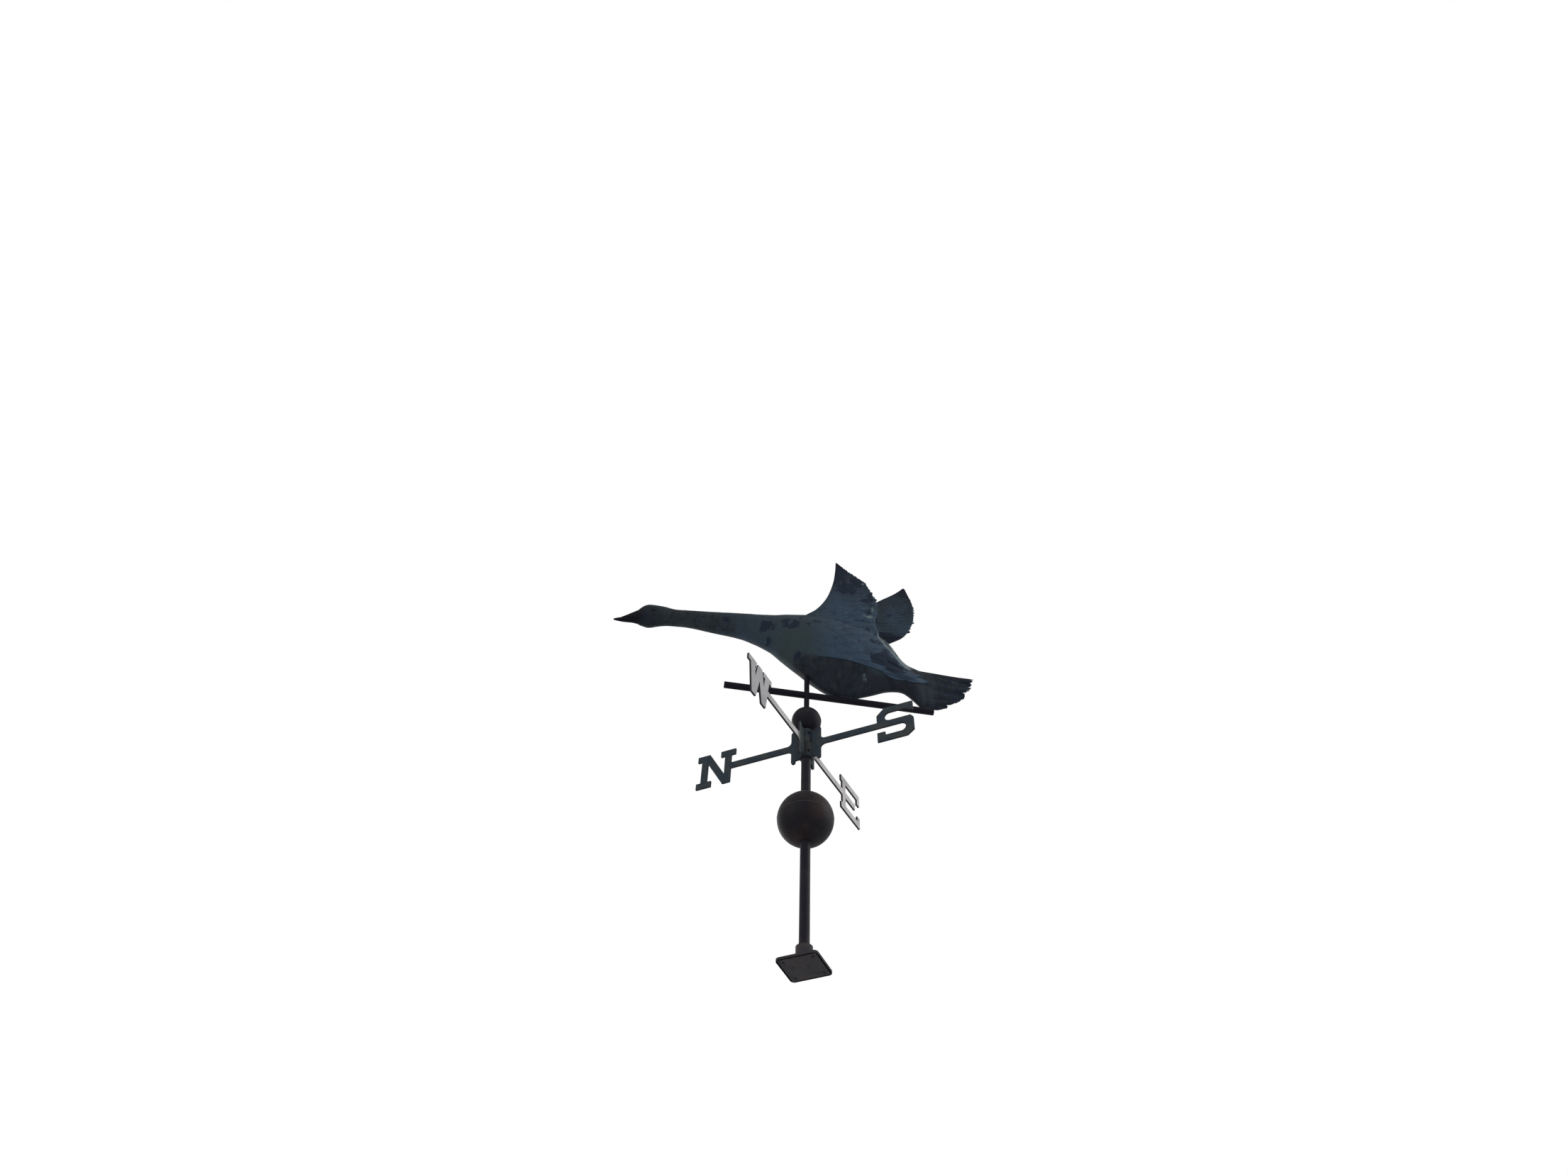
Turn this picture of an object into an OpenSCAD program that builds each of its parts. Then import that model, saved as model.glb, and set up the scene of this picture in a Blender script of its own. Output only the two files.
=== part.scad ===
// Flying goose weathervane: a full bodied sheet copper goose on a pivot bar,
// turning on a spindle above two globes and four compass letters.
// Units are millimetres. +Z is up, +Y is the north arm, +X is the east arm.
// The origin is the middle of the underside of the roof flange.

/* [Overall] */
// Height of the middle of the letter arms above the roof
hub_height = 620; // [560:5:760]
// Distance across the outer ends of two opposite letters
letters_span = 610; // [560:5:700]
// Direction in which the goose looks, anticlockwise from the east arm
vane_heading = 122.5; // [0:0.5:360]
// Length of the goose from the point of the bill to the end of the tail
goose_length = 1005; // [900:1:1120]

/* [Mast] */
// Outside diameter of the copper tube around the mast rod
mast_tube_d = 24; // [22:0.5:28]
// Diameter of the steel mast rod
mast_rod_d = 16; // [14:0.5:18]
// Diameter of the turned spindle that the goose turns on
spindle_d = 9; // [8:0.5:10]
// Side of the square roof flange
flange_side = 96; // [90:1:120]
// Thickness of the roof flange
flange_t = 6; // [5:0.5:10]
// Distance between the flange screw holes, along both sides
flange_hole_pitch = 66; // [60:1:70]
// Diameter of the flange screw holes
flange_hole_d = 7; // [5:0.5:9]
// Height of the flange socket that holds the tube
socket_h = 48; // [40:1:70]

/* [Globes] */
// Diameter of the large globe
large_globe_d = 136; // [120:1:150]
// Depth of the middle of the large globe below the letter arms
large_globe_drop = 232; // [200:1:260]
// Diameter of the small globe
small_globe_d = 76; // [70:1:80]

/* [Letters] */
// Height of a letter
letter_h = 107; // [92:1:112]
// Width of the strokes of the letters
stroke_w = 18; // [15:0.5:20]
// Thickness of the letter castings
casting_t = 5; // [4:0.5:8]
// Angle by which the east and west casting stands off square, anticlockwise
casting_turn = -5; // [-20:0.5:20]
// Width of the letter N
n_width = 108; // [96:1:124]
// Width of the letter S
s_width = 95; // [84:1:108]
// How much closer to the mast than the other letters the letter S stands
s_inset = 20; // [0:1:30]
// Width of the letter E
e_width = 110; // [96:1:124]
// Width of the letter W
w_width = 114; // [100:1:130]
// Height of the arms between hub and letters
arm_h = 18; // [14:0.5:20]
// Height of the hub plate between its ears
hub_plate_h = 84; // [78:1:86]
// Width of the hub plate
hub_plate_w = 80; // [74:1:86]
// Outside diameter of the hub sleeves
sleeve_d = 33; // [31:0.5:36]

/* [Vane] */
// Diameter of the level bar that carries the goose
bar_d = 18; // [17:0.5:20]
// Height of the middle of the bar above the letter arms
bar_rise = 174.5; // [165:0.5:200]
// Outside diameter of the pivot tube
pivot_tube_d = 14; // [13.5:0.5:15]
// Thickness of the raised wings
wing_t = 4; // [3:0.5:6]
// Thickness of the wings at their front edge
wing_front_t = 1.5; // [1:0.1:3]

/* [Hidden] */
$fn = 96;

// Finishes
copper_patina = [0.37, 0.43, 0.40];
copper_brown = [0.24, 0.17, 0.14];
iron_black = [0.12, 0.10, 0.10];
letter_grey = [0.42, 0.42, 0.38];

// Gap left round a piece that slides over another
slip = 0.2;
// Gap between the turning pivot tube and the fixed spindle
running_gap = 0.3;

// Mast
sleeve_h = hub_plate_h / 2 + 2.6;
tube_foot = flange_t + slip;
tube_top = hub_height + sleeve_h;
socket_d = mast_tube_d + 14;
screw_d = 6;
screw_proud = 1.5;
// Direction in which all set screws point: south west
screw_side = 225;
screw_rise = 0.66 * sleeve_h;
rim_h = 3;
rim_proud = 0.8;
// Distance from the outer end of a letter to the end of its arm, inside the letter
letter_root = 90;

// Globes
large_globe_z = hub_height - large_globe_drop;
small_globe_r = small_globe_d / 2;
small_globe_hole_r = mast_rod_d / 2 + slip;
small_globe_z = tube_top + slip
    + sqrt(small_globe_r * small_globe_r - small_globe_hole_r * small_globe_hole_r);
small_globe_top_z = small_globe_z + small_globe_r;

// Vane
shoulder_z = small_globe_top_z + 4;
pivot_foot_z = shoulder_z + 1;
bar_z = hub_height + bar_rise;
keel_z = bar_z + bar_d / 2;
goose_scale = goose_length / 1005;
pivot_top = 215 * goose_scale;
pivot_cap = 12;
bar_front = 220 * goose_scale;
bar_back = 343 * goose_scale;

// Cross sections of the goose, from the root of the tail to the point of the bill:
// distance in front of the spindle, top and bottom above the bar, half width, and the
// roundness of the lower half, where 2 is an ellipse and less is a keel
SECTIONS = [
    [-313, 140, 0.3, 15, 2.4],
    [-268, 160, 50, 27, 2],
    [-224, 222, 50, 47, 1.8],
    [-164, 259, 21, 66, 1.6],
    [-110, 274, 0.3, 76, 1.5],
    [-60, 281, 10, 77, 1.5],
    [-31, 284, 29, 73, 1.6],
    [4, 284, 64, 69, 1.8],
    [64, 276, 120, 57, 2],
    [103, 268, 153, 47, 2],
    [178, 262, 184, 36, 2],
    [257, 254, 193, 30, 2],
    [326, 248, 199, 25, 2],
    [376, 244, 197, 24, 2],
    [405, 250, 190, 25, 2],
    [440, 250, 178, 29, 2],
    [457, 245, 179, 25, 2],
    [475, 226, 183, 17, 2],
    [490, 213, 183, 13, 2],
    [514, 195, 180, 7, 2],
    [536, 185, 181, 2, 2]];
tail_root = -313;
neck_joint = 130;
head_joint = 386;
bill_point = 536;

// End of the tail from its upper corner to its lower one: share of the way down,
// distance in front of the spindle, height above the bar
TAIL_END = [[0, -469, 134], [0.35, -450, 96], [0.62, -422, 56], [0.85, -380, 18], [1, -345, 0.3]];
tail_feathers = 6;
tail_notch = 7;
tail_end_half = 2.2;

// Front and back edges of the wings from the flank to the tip: share of the way up,
// distance in front of the spindle, height above the bar
LEFT_FRONT = [[0, 38, 121], [0.12, 38, 175], [0.28, 22, 234], [0.42, -17, 277],
              [0.56, -45, 329], [0.72, -63, 393], [0.86, -70, 443], [1, -73, 492]];
LEFT_BACK = [[0, -298, 80], [0.06, -300, 98], [0.13, -258, 138], [0.24, -216, 180],
             [0.34, -191, 245], [0.46, -196, 292], [0.58, -194, 340], [0.68, -180, 377],
             [0.8, -158, 420], [0.92, -114, 454], [1, -79, 486]];
RIGHT_FRONT = [[0, 38, 121], [0.12, 38, 175], [0.25, 22, 234], [0.42, -46, 298],
               [0.6, -130, 392], [0.8, -231, 482], [0.92, -281, 526], [1, -307, 556]];
RIGHT_BACK = [[0, -298, 80], [0.06, -300, 98], [0.13, -258, 138], [0.24, -216, 180],
              [0.32, -206, 246], [0.42, -251, 291], [0.54, -300, 330], [0.66, -327, 382],
              [0.78, -335, 425], [0.9, -333, 480], [1, -312, 549]];
// Sag of the lower edge of the wings: share of the way back, depth under a straight edge
WING_SAG = [[0, 0], [0.09, 16], [0.23, 24], [0.45, 24], [0.68, 16], [0.92, 6], [1, 0]];
wing_feathers = 12;
wing_notch = 6;
wing_root_share = 0.3;
wing_taper_share = 0.25;
wing_low_z = 150;
wing_free_z = 230;
wing_half_gap = 56;
// Gap between a wing's skin and the rounded flank under it, at the edges of its flat facets
skin_gap = 1.3;

// Eye
eye = [432, 27, 213];
eye_r = 4.5;

// Smooth curve through the rows of a table, as a function of the first column
function row_before(rows, x, i = 0) =
    i >= len(rows) - 2 || x < rows[i + 1][0] ? i : row_before(rows, x, i + 1);
function row_slope(rows, i, k) =
    let (a = max(i - 1, 0), b = min(i + 1, len(rows) - 1))
    (rows[b][k] - rows[a][k]) / (rows[b][0] - rows[a][0]);
function along(rows, x, k) =
    let (i = row_before(rows, x),
         span = rows[i + 1][0] - rows[i][0],
         t = (x - rows[i][0]) / span)
    (2 * pow(t, 3) - 3 * t * t + 1) * rows[i][k]
    + (pow(t, 3) - 2 * t * t + t) * span * row_slope(rows, i, k)
    + (3 * t * t - 2 * pow(t, 3)) * rows[i + 1][k]
    + (pow(t, 3) - t * t) * span * row_slope(rows, i + 1, k);

function mix(a, b, t) = a + (b - a) * t;
function ease(t) = let (s = min(max(t, 0), 1)) s * s * (3 - 2 * s);

// Half width of the body at a point of its side, 0 above and below the body
function flank(x, z) =
    let (top = along(SECTIONS, x, 1),
         bottom = along(SECTIONS, x, 2),
         r = (2 * z - top - bottom) / (top - bottom),
         n = r > 0 ? 2 : along(SECTIONS, x, 4))
    abs(r) >= 1 ? 0 : along(SECTIONS, x, 3) * pow(1 - pow(abs(r), n), 1 / n);

// Points of half a cross section, from the top round one side to the bottom
function half_section(x, side, steps) =
    let (top = along(SECTIONS, x, 1),
         bottom = along(SECTIONS, x, 2),
         wide = along(SECTIONS, x, 3),
         low = along(SECTIONS, x, 4))
    [for (k = [0:steps])
        let (a = 180 * k / steps,
             n = a < 90 ? 2 : low,
             up = a == 90 ? 0 : sign(cos(a)) * pow(abs(cos(a)), 2 / n),
             out = k == 0 || k == steps ? 0 : pow(sin(a), 2 / n))
        [x, side * wide * out, (top + bottom) / 2 + (top - bottom) / 2 * up]];

// Faces of a closed skin over rings of equal length
function ring_faces(rings, count, side) =
    let (quads = [for (i = [0:rings - 2]) for (k = [0:count - 1])
             [i * count + k, i * count + (k + 1) % count,
              (i + 1) * count + (k + 1) % count, (i + 1) * count + k]],
         ends = [[for (k = [count - 1:-1:0]) k],
                 [for (k = [0:count - 1]) (rings - 1) * count + k]],
         tris = concat([for (q = quads) [q[0], q[1], q[2]]], [for (q = quads) [q[0], q[2], q[3]]], ends))
    side > 0 ? tris : [for (f = tris) [for (k = [len(f) - 1:-1:0]) f[k]]];

// Half of the goose between two distances from the spindle
module goose_half(from, to, side, rings, steps = 14) {
    pts = [for (i = [0:rings]) each half_section(mix(from, to, i / rings), side, steps)];
    scale(goose_scale) polyhedron(pts, ring_faces(rings + 1, steps + 1, side), convexity = 6);
}

// Depth of the notches between feather tips
function notch(t, feathers, depth) =
    let (f = t * feathers - floor(t * feathers)) depth * pow(f, 3);

// Closed sheet between two grids of points: each row holds the outer points of the sheet
// in order and then the inner ones in the opposite order
function sheet_faces(rows, cols, side) =
    let (count = 2 * (cols + 1),
         quads = concat(
             [for (i = [0:rows - 1]) for (k = [0:count - 1])
                 [i * count + k, i * count + (k + 1) % count,
                  (i + 1) * count + (k + 1) % count, (i + 1) * count + k]],
             [for (k = [0:cols - 1]) [k + 1, k, count - 1 - k, count - 2 - k]],
             [for (k = [0:cols - 1])
                 let (last = rows * count)
                 [last + k, last + k + 1, last + count - 2 - k, last + count - 1 - k]]),
         tris = concat([for (q = quads) [q[0], q[1], q[2]]], [for (q = quads) [q[0], q[2], q[3]]]))
    side > 0 ? tris : [for (f = tris) [f[2], f[1], f[0]]];

// Half of the tail fan, from its root section to its ragged end
function tail_point(s, k, steps, side, outer) =
    let (root = half_section(tail_root, 1, steps)[k],
         drop = k / steps,
         end_x = along(TAIL_END, drop, 1) + notch(drop, tail_feathers, tail_notch),
         end_z = along(TAIL_END, drop, 2),
         wide = max(0.5, mix(root[1], tail_end_half, ease(s))))
    [mix(root[0], end_x, s), outer ? side * wide : 0, mix(root[2], end_z, s)];

module goose_tail(side, rows = 8, cols = 24) {
    pts = [for (i = [0:rows])
        let (s = 1 - i / rows)
        each concat([for (k = [0:cols]) tail_point(s, k, cols, side, true)],
                    [for (k = [cols:-1:0]) tail_point(s, k, cols, side, false)])];
    scale(goose_scale) polyhedron(pts, sheet_faces(rows, cols, side), convexity = 6);
}

// A wing: a skin that lies on the flank below and stands free above
function wing_inside(x, z) =
    max(flank(x, z) + skin_gap, wing_half_gap * ease((z - wing_low_z) / (wing_free_z - wing_low_z)));
function wing_point(front, back, side, s, t, outer) =
    let (feather = s > wing_root_share ? notch((s - wing_root_share) / (1 - wing_root_share),
                                               wing_feathers, wing_notch) : 0,
         x = mix(along(front, s, 1), along(back, s, 1) + feather, t),
         z = mix(along(front, s, 2), along(back, s, 2), t) - along(WING_SAG, t, 1) * pow(1 - s, 3),
         thick = mix(wing_front_t, wing_t, ease(t / wing_taper_share)))
    [x, side * (wing_inside(x, z) + (outer ? thick : 0)), z];

module wing(front, back, side, rows = 48, cols = 12) {
    pts = [for (i = [0:rows])
        let (s = i / rows)
        each concat([for (k = [0:cols]) wing_point(front, back, side, s, k / cols, true)],
                    [for (k = [cols:-1:0]) wing_point(front, back, side, s, k / cols, false)])];
    scale(goose_scale) polyhedron(pts, sheet_faces(rows, cols, -side), convexity = 8);
}

// Places the goose on the bar, looking along its heading
module on_vane() {
    rotate([0, 0, vane_heading]) translate([0, 0, keel_z]) children();
}

// Room for the pivot tube inside the body
module pivot_bore() {
    translate([0, 0, -1]) cylinder(d = pivot_tube_d + 2 * slip, h = pivot_top + 1 + slip);
}

module roof_flange() {
    corner = 10;
    color(iron_black) difference() {
        union() {
            linear_extrude(flange_t) {
                square([flange_side, flange_side - 2 * corner], center = true);
                square([flange_side - 2 * corner, flange_side], center = true);
                for (sx = [-1, 1]) for (sy = [-1, 1])
                    translate([sx, sy] * (flange_side / 2 - corner)) circle(corner);
            }
            cylinder(d = socket_d, h = socket_h);
        }
        translate([0, 0, flange_t]) cylinder(d = mast_tube_d + 2 * slip, h = socket_h);
        for (sx = [-1, 1]) for (sy = [-1, 1])
            translate([sx * flange_hole_pitch / 2, sy * flange_hole_pitch / 2, -1])
                cylinder(d = flange_hole_d, h = flange_t + 2);
        screw_hole(socket_h / 2, socket_d);
    }
}

module screw_hole(z, outside) {
    translate([0, 0, z]) rotate([0, 90, screw_side])
        cylinder(d = screw_d + 2 * slip, h = outside);
}

module set_screw(z, outside) {
    translate([0, 0, z]) rotate([0, 90, screw_side]) difference() {
        translate([0, 0, mast_tube_d / 2 + slip])
            cylinder(d = screw_d, h = (outside - mast_tube_d) / 2 + screw_proud);
        translate([0, 0, outside / 2 + screw_proud - 2.5]) cylinder(d = 3.5, h = 4, $fn = 6);
    }
}

module set_screws() {
    color(iron_black) {
        set_screw(socket_h / 2, socket_d);
        set_screw(hub_height - screw_rise, sleeve_d);
        set_screw(hub_height + screw_rise, sleeve_d);
    }
}

module mast_rod() {
    color(iron_black) {
        translate([0, 0, tube_foot]) cylinder(d = mast_rod_d, h = shoulder_z - tube_foot);
        spindle_top = keel_z + pivot_top - pivot_cap - running_gap;
        translate([0, 0, shoulder_z - 1]) cylinder(d = spindle_d, h = spindle_top - shoulder_z + 1);
    }
}

module mast_tube() {
    color(copper_brown) difference() {
        translate([0, 0, tube_foot]) cylinder(d = mast_tube_d, h = tube_top - tube_foot);
        cylinder(d = mast_rod_d + 2 * slip, h = tube_top + 1);
    }
}

// Half of a globe, as a solid with a hole for what carries it
module globe_half(d, hole_r, upper) {
    difference() {
        union() {
            sphere(d = d);
            if (upper) cylinder(d = d + 2 * rim_proud, h = rim_h);
        }
        translate([0, 0, upper ? -d / 2 : d / 2]) cube([2 * d, 2 * d, d], center = true);
        translate([0, 0, -d]) cylinder(r = hole_r, h = 2 * d);
    }
}

module large_globe_lower() {
    color(copper_brown) translate([0, 0, large_globe_z])
        globe_half(large_globe_d, mast_tube_d / 2 + slip, false);
}

module large_globe_upper() {
    color(copper_brown) translate([0, 0, large_globe_z])
        globe_half(large_globe_d, mast_tube_d / 2 + slip, true);
}

module small_globe_lower() {
    color(copper_brown) translate([0, 0, small_globe_z])
        globe_half(small_globe_d, small_globe_hole_r, false);
}

module small_globe_upper() {
    color(copper_brown) translate([0, 0, small_globe_z])
        globe_half(small_globe_d, small_globe_hole_r, true);
}

// Hub plate with an ear at each corner
module hub_outline() {
    ear_r = 5.5;
    square([hub_plate_w, hub_plate_h], center = true);
    for (sx = [-1, 1]) for (sy = [-1, 1])
        translate([sx * (hub_plate_w / 2 - ear_r), sy * (hub_plate_h / 2 + 4.5)]) {
            circle(ear_r);
            translate([-ear_r, sy > 0 ? -6 : 0]) square([2 * ear_r, 6]);
        }
}

// Arm from the hub plate to a letter, with filleted roots
module arm_outline() {
    fillet_r = 12;
    reach = letters_span / 2 - letter_root;
    translate([0, -arm_h / 2]) square([reach, arm_h]);
    for (sy = [-1, 1])
        translate([hub_plate_w / 2, sy * arm_h / 2]) scale([1, sy]) difference() {
            square(fillet_r);
            translate([fillet_r, fillet_r]) circle(fillet_r);
        }
}

// Letters, with their middle at mid height and their left side at 0
module letter_n() {
    w = n_width;
    serif_w = 42;
    stem_x = 12;
    for (x = [stem_x, w - stem_x - stroke_w])
        translate([x, -letter_h / 2]) square([stroke_w, letter_h]);
    polygon([[stem_x, letter_h / 2], [stem_x + 1.25 * stroke_w, letter_h / 2],
             [w - stem_x, -letter_h / 2], [w - stem_x - 1.25 * stroke_w, -letter_h / 2]]);
    translate([0, -letter_h / 2]) square([serif_w, stroke_w]);
    translate([0, letter_h / 2 - stroke_w]) square([serif_w * 0.7, stroke_w]);
    translate([w - serif_w, letter_h / 2 - stroke_w]) square([serif_w, stroke_w]);
}

module letter_s() {
    w = s_width;
    h = letter_h / 2;
    s = stroke_w;
    upright = 1.15 * s;
    counter_r = (h - 1.5 * s) / 2;
    terminal = h - 1.6 * s;
    notch_x = w - 1.2 * s;
    difference() {
        polygon([[0, -h], [w - s, -h], [w, 0.8 * s - h], [w, 0], [w - 0.4 * s, s / 2], [notch_x, s / 2],
                 [notch_x, h - s], [w, terminal], [w, h], [1.2 * s, h], [0, h - 1.2 * s]]);
        // rounded counters, the upper one open to the right and the lower one to the left
        hull() {
            translate([upright + counter_r, s / 2 + counter_r]) circle(counter_r);
            translate([notch_x - s, s / 2]) square([s, 2 * counter_r]);
        }
        hull() {
            translate([w - upright - counter_r, -s / 2 - counter_r]) circle(counter_r);
            translate([upright, -s / 2 - 2 * counter_r]) square(2 * counter_r);
        }
        translate([-1, -terminal]) square([upright + 2, terminal - s / 2]);
    }
}

module letter_e() {
    w = e_width;
    serif_w = 0.8 * stroke_w;
    serif_h = 34;
    stem_x = 8;
    translate([stem_x, -letter_h / 2]) square([stroke_w, letter_h]);
    for (sy = [-1, 1])
        translate([0, (sy * (letter_h - stroke_w) - stroke_w) / 2]) square([w, stroke_w]);
    translate([stem_x, -stroke_w / 2]) square([0.68 * w, stroke_w]);
    for (foot = [-letter_h / 2, letter_h / 2 - serif_h])
        translate([w - serif_w, foot]) square([serif_w, serif_h]);
}

module letter_w() {
    w = w_width;
    h = letter_h / 2;
    leg = 1.15 * stroke_w;
    serif_w = 40;
    foot_x = 0.29 * w;
    for (leg_x = [[20, foot_x], [w / 2, foot_x], [w / 2, w - foot_x], [w - 20, w - foot_x]])
        polygon([[leg_x[0] - leg / 2, h], [leg_x[0] + leg / 2, h],
                 [leg_x[1] + leg / 2, -h], [leg_x[1] - leg / 2, -h]]);
    for (x = [0, w - serif_w])
        translate([x, h - 0.9 * stroke_w]) square([serif_w, 0.9 * stroke_w]);
}

// A casting turned about the mast, with a plate, a sleeve round the mast in its own half
// of the height and a slot for the other casting's sleeve
module directional(turn, sleeve_up) {
    own = sleeve_up ? slip / 2 : -sleeve_h;
    other = sleeve_up ? slip / 2 - letter_h : -slip / 2;
    beyond = sleeve_up ? sleeve_h : -sleeve_h - letter_h;
    color(letter_grey) translate([0, 0, hub_height]) difference() {
        union() {
            rotate([90, 0, turn]) linear_extrude(casting_t, center = true) {
                hub_outline();
                arm_outline();
                scale([-1, 1]) arm_outline();
                children();
            }
            translate([0, 0, own]) cylinder(d = sleeve_d, h = sleeve_h - slip / 2);
        }
        cylinder(d = mast_tube_d + 2 * slip, h = 3 * letter_h, center = true);
        translate([0, 0, other]) cylinder(d = sleeve_d + 2 * slip, h = letter_h);
        translate([0, 0, beyond]) cylinder(d = sleeve_d + 8, h = letter_h);
        screw_hole(sleeve_up ? screw_rise : -screw_rise, sleeve_d);
    }
}

module directional_ns() {
    directional(-90, true) {
        translate([letters_span / 2 - s_inset - s_width, 0]) letter_s();
        translate([-letters_span / 2, 0]) letter_n();
    }
}

module directional_ew() {
    directional(casting_turn, false) {
        translate([letters_span / 2 - e_width, 0]) letter_e();
        translate([-letters_span / 2, 0]) letter_w();
    }
}

module pivot_tube() {
    top_z = keel_z + pivot_top;
    color(iron_black) difference() {
        translate([0, 0, pivot_foot_z]) cylinder(d = pivot_tube_d, h = top_z - pivot_foot_z);
        translate([0, 0, pivot_foot_z - 1])
            cylinder(d = spindle_d + 2 * running_gap, h = top_z - pivot_cap - pivot_foot_z + 1);
    }
}

module vane_bar() {
    color(iron_black) rotate([0, 0, vane_heading]) translate([0, 0, bar_z]) difference() {
        translate([-bar_back, 0, 0]) rotate([0, 90, 0]) cylinder(d = bar_d, h = bar_back + bar_front);
        cylinder(d = pivot_tube_d + 2 * slip, h = 2 * bar_d, center = true);
    }
}

module goose_head(side) {
    color(copper_patina) on_vane() difference() {
        goose_half(head_joint, bill_point, side, 26);
        scale(goose_scale) translate([eye[0], side * eye[1], eye[2]]) sphere(r = eye_r + slip, $fn = 24);
    }
}

module goose_head_left() goose_head(1);
module goose_head_right() goose_head(-1);

module goose_eyes() {
    color(iron_black) on_vane() scale(goose_scale)
        for (side = [-1, 1]) translate([eye[0], side * eye[1], eye[2]]) sphere(r = eye_r, $fn = 24);
}

module goose_neck_left() color(copper_patina) on_vane() goose_half(neck_joint, head_joint, 1, 18);
module goose_neck_right() color(copper_patina) on_vane() goose_half(neck_joint, head_joint, -1, 18);

module goose_body(side) {
    color(copper_patina) on_vane() difference() {
        goose_half(tail_root, neck_joint, side, 36);
        pivot_bore();
    }
}

module goose_body_left() goose_body(1);
module goose_body_right() goose_body(-1);

module goose_tail_left() color(copper_patina) on_vane() goose_tail(1);
module goose_tail_right() color(copper_patina) on_vane() goose_tail(-1);

module left_wing() color(copper_patina) on_vane() wing(LEFT_FRONT, LEFT_BACK, 1);
module right_wing() color(copper_patina) on_vane() wing(RIGHT_FRONT, RIGHT_BACK, -1);

roof_flange();
mast_rod();
mast_tube();
large_globe_lower();
large_globe_upper();
directional_ns();
directional_ew();
set_screws();
small_globe_lower();
small_globe_upper();
pivot_tube();
vane_bar();
goose_head_left();
goose_head_right();
goose_neck_left();
goose_neck_right();
goose_body_left();
goose_body_right();
goose_tail_left();
goose_tail_right();
left_wing();
right_wing();
goose_eyes();
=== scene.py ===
# %% [markdown]
# # A flying goose weathervane
# The real object is a full bodied goose of beaten sheet copper. It rides on a level bar,
# and the bar turns on a spindle above two spun globes and two crossed castings that carry
# the letters N, E, S and W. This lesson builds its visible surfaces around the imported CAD
# model: first the camera, then the finishes, then each piece, and last the stage.

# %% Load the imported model
import math
from functools import partial

import bmesh
import bpy
import numpy as np
from mathutils import Matrix, Vector, noise


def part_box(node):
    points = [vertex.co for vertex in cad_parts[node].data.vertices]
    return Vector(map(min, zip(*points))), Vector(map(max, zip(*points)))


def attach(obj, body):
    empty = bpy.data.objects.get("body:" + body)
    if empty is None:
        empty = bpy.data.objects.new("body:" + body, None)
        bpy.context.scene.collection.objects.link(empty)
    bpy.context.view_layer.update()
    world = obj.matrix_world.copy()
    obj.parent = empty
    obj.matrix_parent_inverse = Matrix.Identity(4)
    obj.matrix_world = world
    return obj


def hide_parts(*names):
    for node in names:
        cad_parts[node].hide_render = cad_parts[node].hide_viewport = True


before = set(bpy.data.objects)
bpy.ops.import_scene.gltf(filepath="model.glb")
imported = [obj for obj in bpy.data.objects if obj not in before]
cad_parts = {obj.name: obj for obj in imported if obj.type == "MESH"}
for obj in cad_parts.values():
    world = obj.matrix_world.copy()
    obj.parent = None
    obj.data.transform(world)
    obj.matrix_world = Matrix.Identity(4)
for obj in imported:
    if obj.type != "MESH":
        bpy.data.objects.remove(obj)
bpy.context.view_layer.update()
MM = 0.001


def link(name, data):
    """Puts a new object with this data into the scene."""
    thing = bpy.data.objects.new(name, data)
    bpy.context.scene.collection.objects.link(thing)
    return thing


# %% [markdown]
# ## The camera
# The vane is seen from below, from the west side. A pinhole camera was fitted to the mast,
# the globes and the letters. Setting the matrix from three unit vectors keeps its small roll.

# %% Camera
CAMERA_PLACE = Vector((-1.9937, -0.8351, -1.2960))
YAW, PITCH, ROLL = math.radians(24.57), math.radians(49.43), math.radians(1.96)
FOCAL_PIXELS, PICTURE_WIDTH, SENSOR_WIDTH = 1600.0, 2212.0, 36.0

level = math.cos(PITCH)
view_line = Vector((level * math.cos(YAW), level * math.sin(YAW), math.sin(PITCH)))
level_right = Vector((math.sin(YAW), -math.cos(YAW), 0))
level_up = level_right.cross(view_line)
right = level_right * math.cos(ROLL) + level_up * math.sin(ROLL)
up = level_up * math.cos(ROLL) - level_right * math.sin(ROLL)

camera_data = bpy.data.cameras.new("photo_camera")
camera_data.sensor_fit = "HORIZONTAL"
camera_data.sensor_width = SENSOR_WIDTH
camera_data.lens = FOCAL_PIXELS / PICTURE_WIDTH * SENSOR_WIDTH
camera_data.clip_start, camera_data.clip_end = 0.05, 60
camera = link("photo_camera", camera_data)
turned = Matrix((right, up, -view_line)).transposed().to_4x4()
camera.matrix_world = Matrix.Translation(CAMERA_PLACE) @ turned
bpy.context.scene.camera = camera
print("lens", round(camera_data.lens, 2), "mm")

# %% [markdown]
# ## Wiring helper
# Node trees are mostly small sums. A thin class that turns `a * b + c` into Math nodes keeps
# the recipes readable, and works for materials and for geometry. A wire starts at one
# output of a node, and `wire["Fac"]` is another output of that node.

# %% Sums written as sums
class Wire:
    """An output of a node that can be added, multiplied and compared."""

    def __init__(self, tree, socket):
        self.tree, self.socket = tree, socket

    def __getitem__(self, which):
        return Wire(self.tree, self.socket.node.outputs[which])

    def math(self, operation, *others):
        return add(self.tree, "ShaderNodeMath", self, *others, operation=operation)

    def __add__(self, other): return self.math("ADD", other)
    def __sub__(self, other): return self.math("SUBTRACT", other)
    def __mul__(self, other): return self.math("MULTIPLY", other)
    def __truediv__(self, other): return self.math("DIVIDE", other)
    def __pow__(self, other): return self.math("POWER", other)
    __radd__, __rmul__ = __add__, __mul__

    def __rsub__(self, other): return (self * -1) + other

    def step(self, low, high):
        """0 below low, 1 above high, smooth between."""
        return add(self.tree, "ShaderNodeMapRange", Value=self, From_Min=low, From_Max=high,
                   interpolation_type="SMOOTHSTEP")


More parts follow.
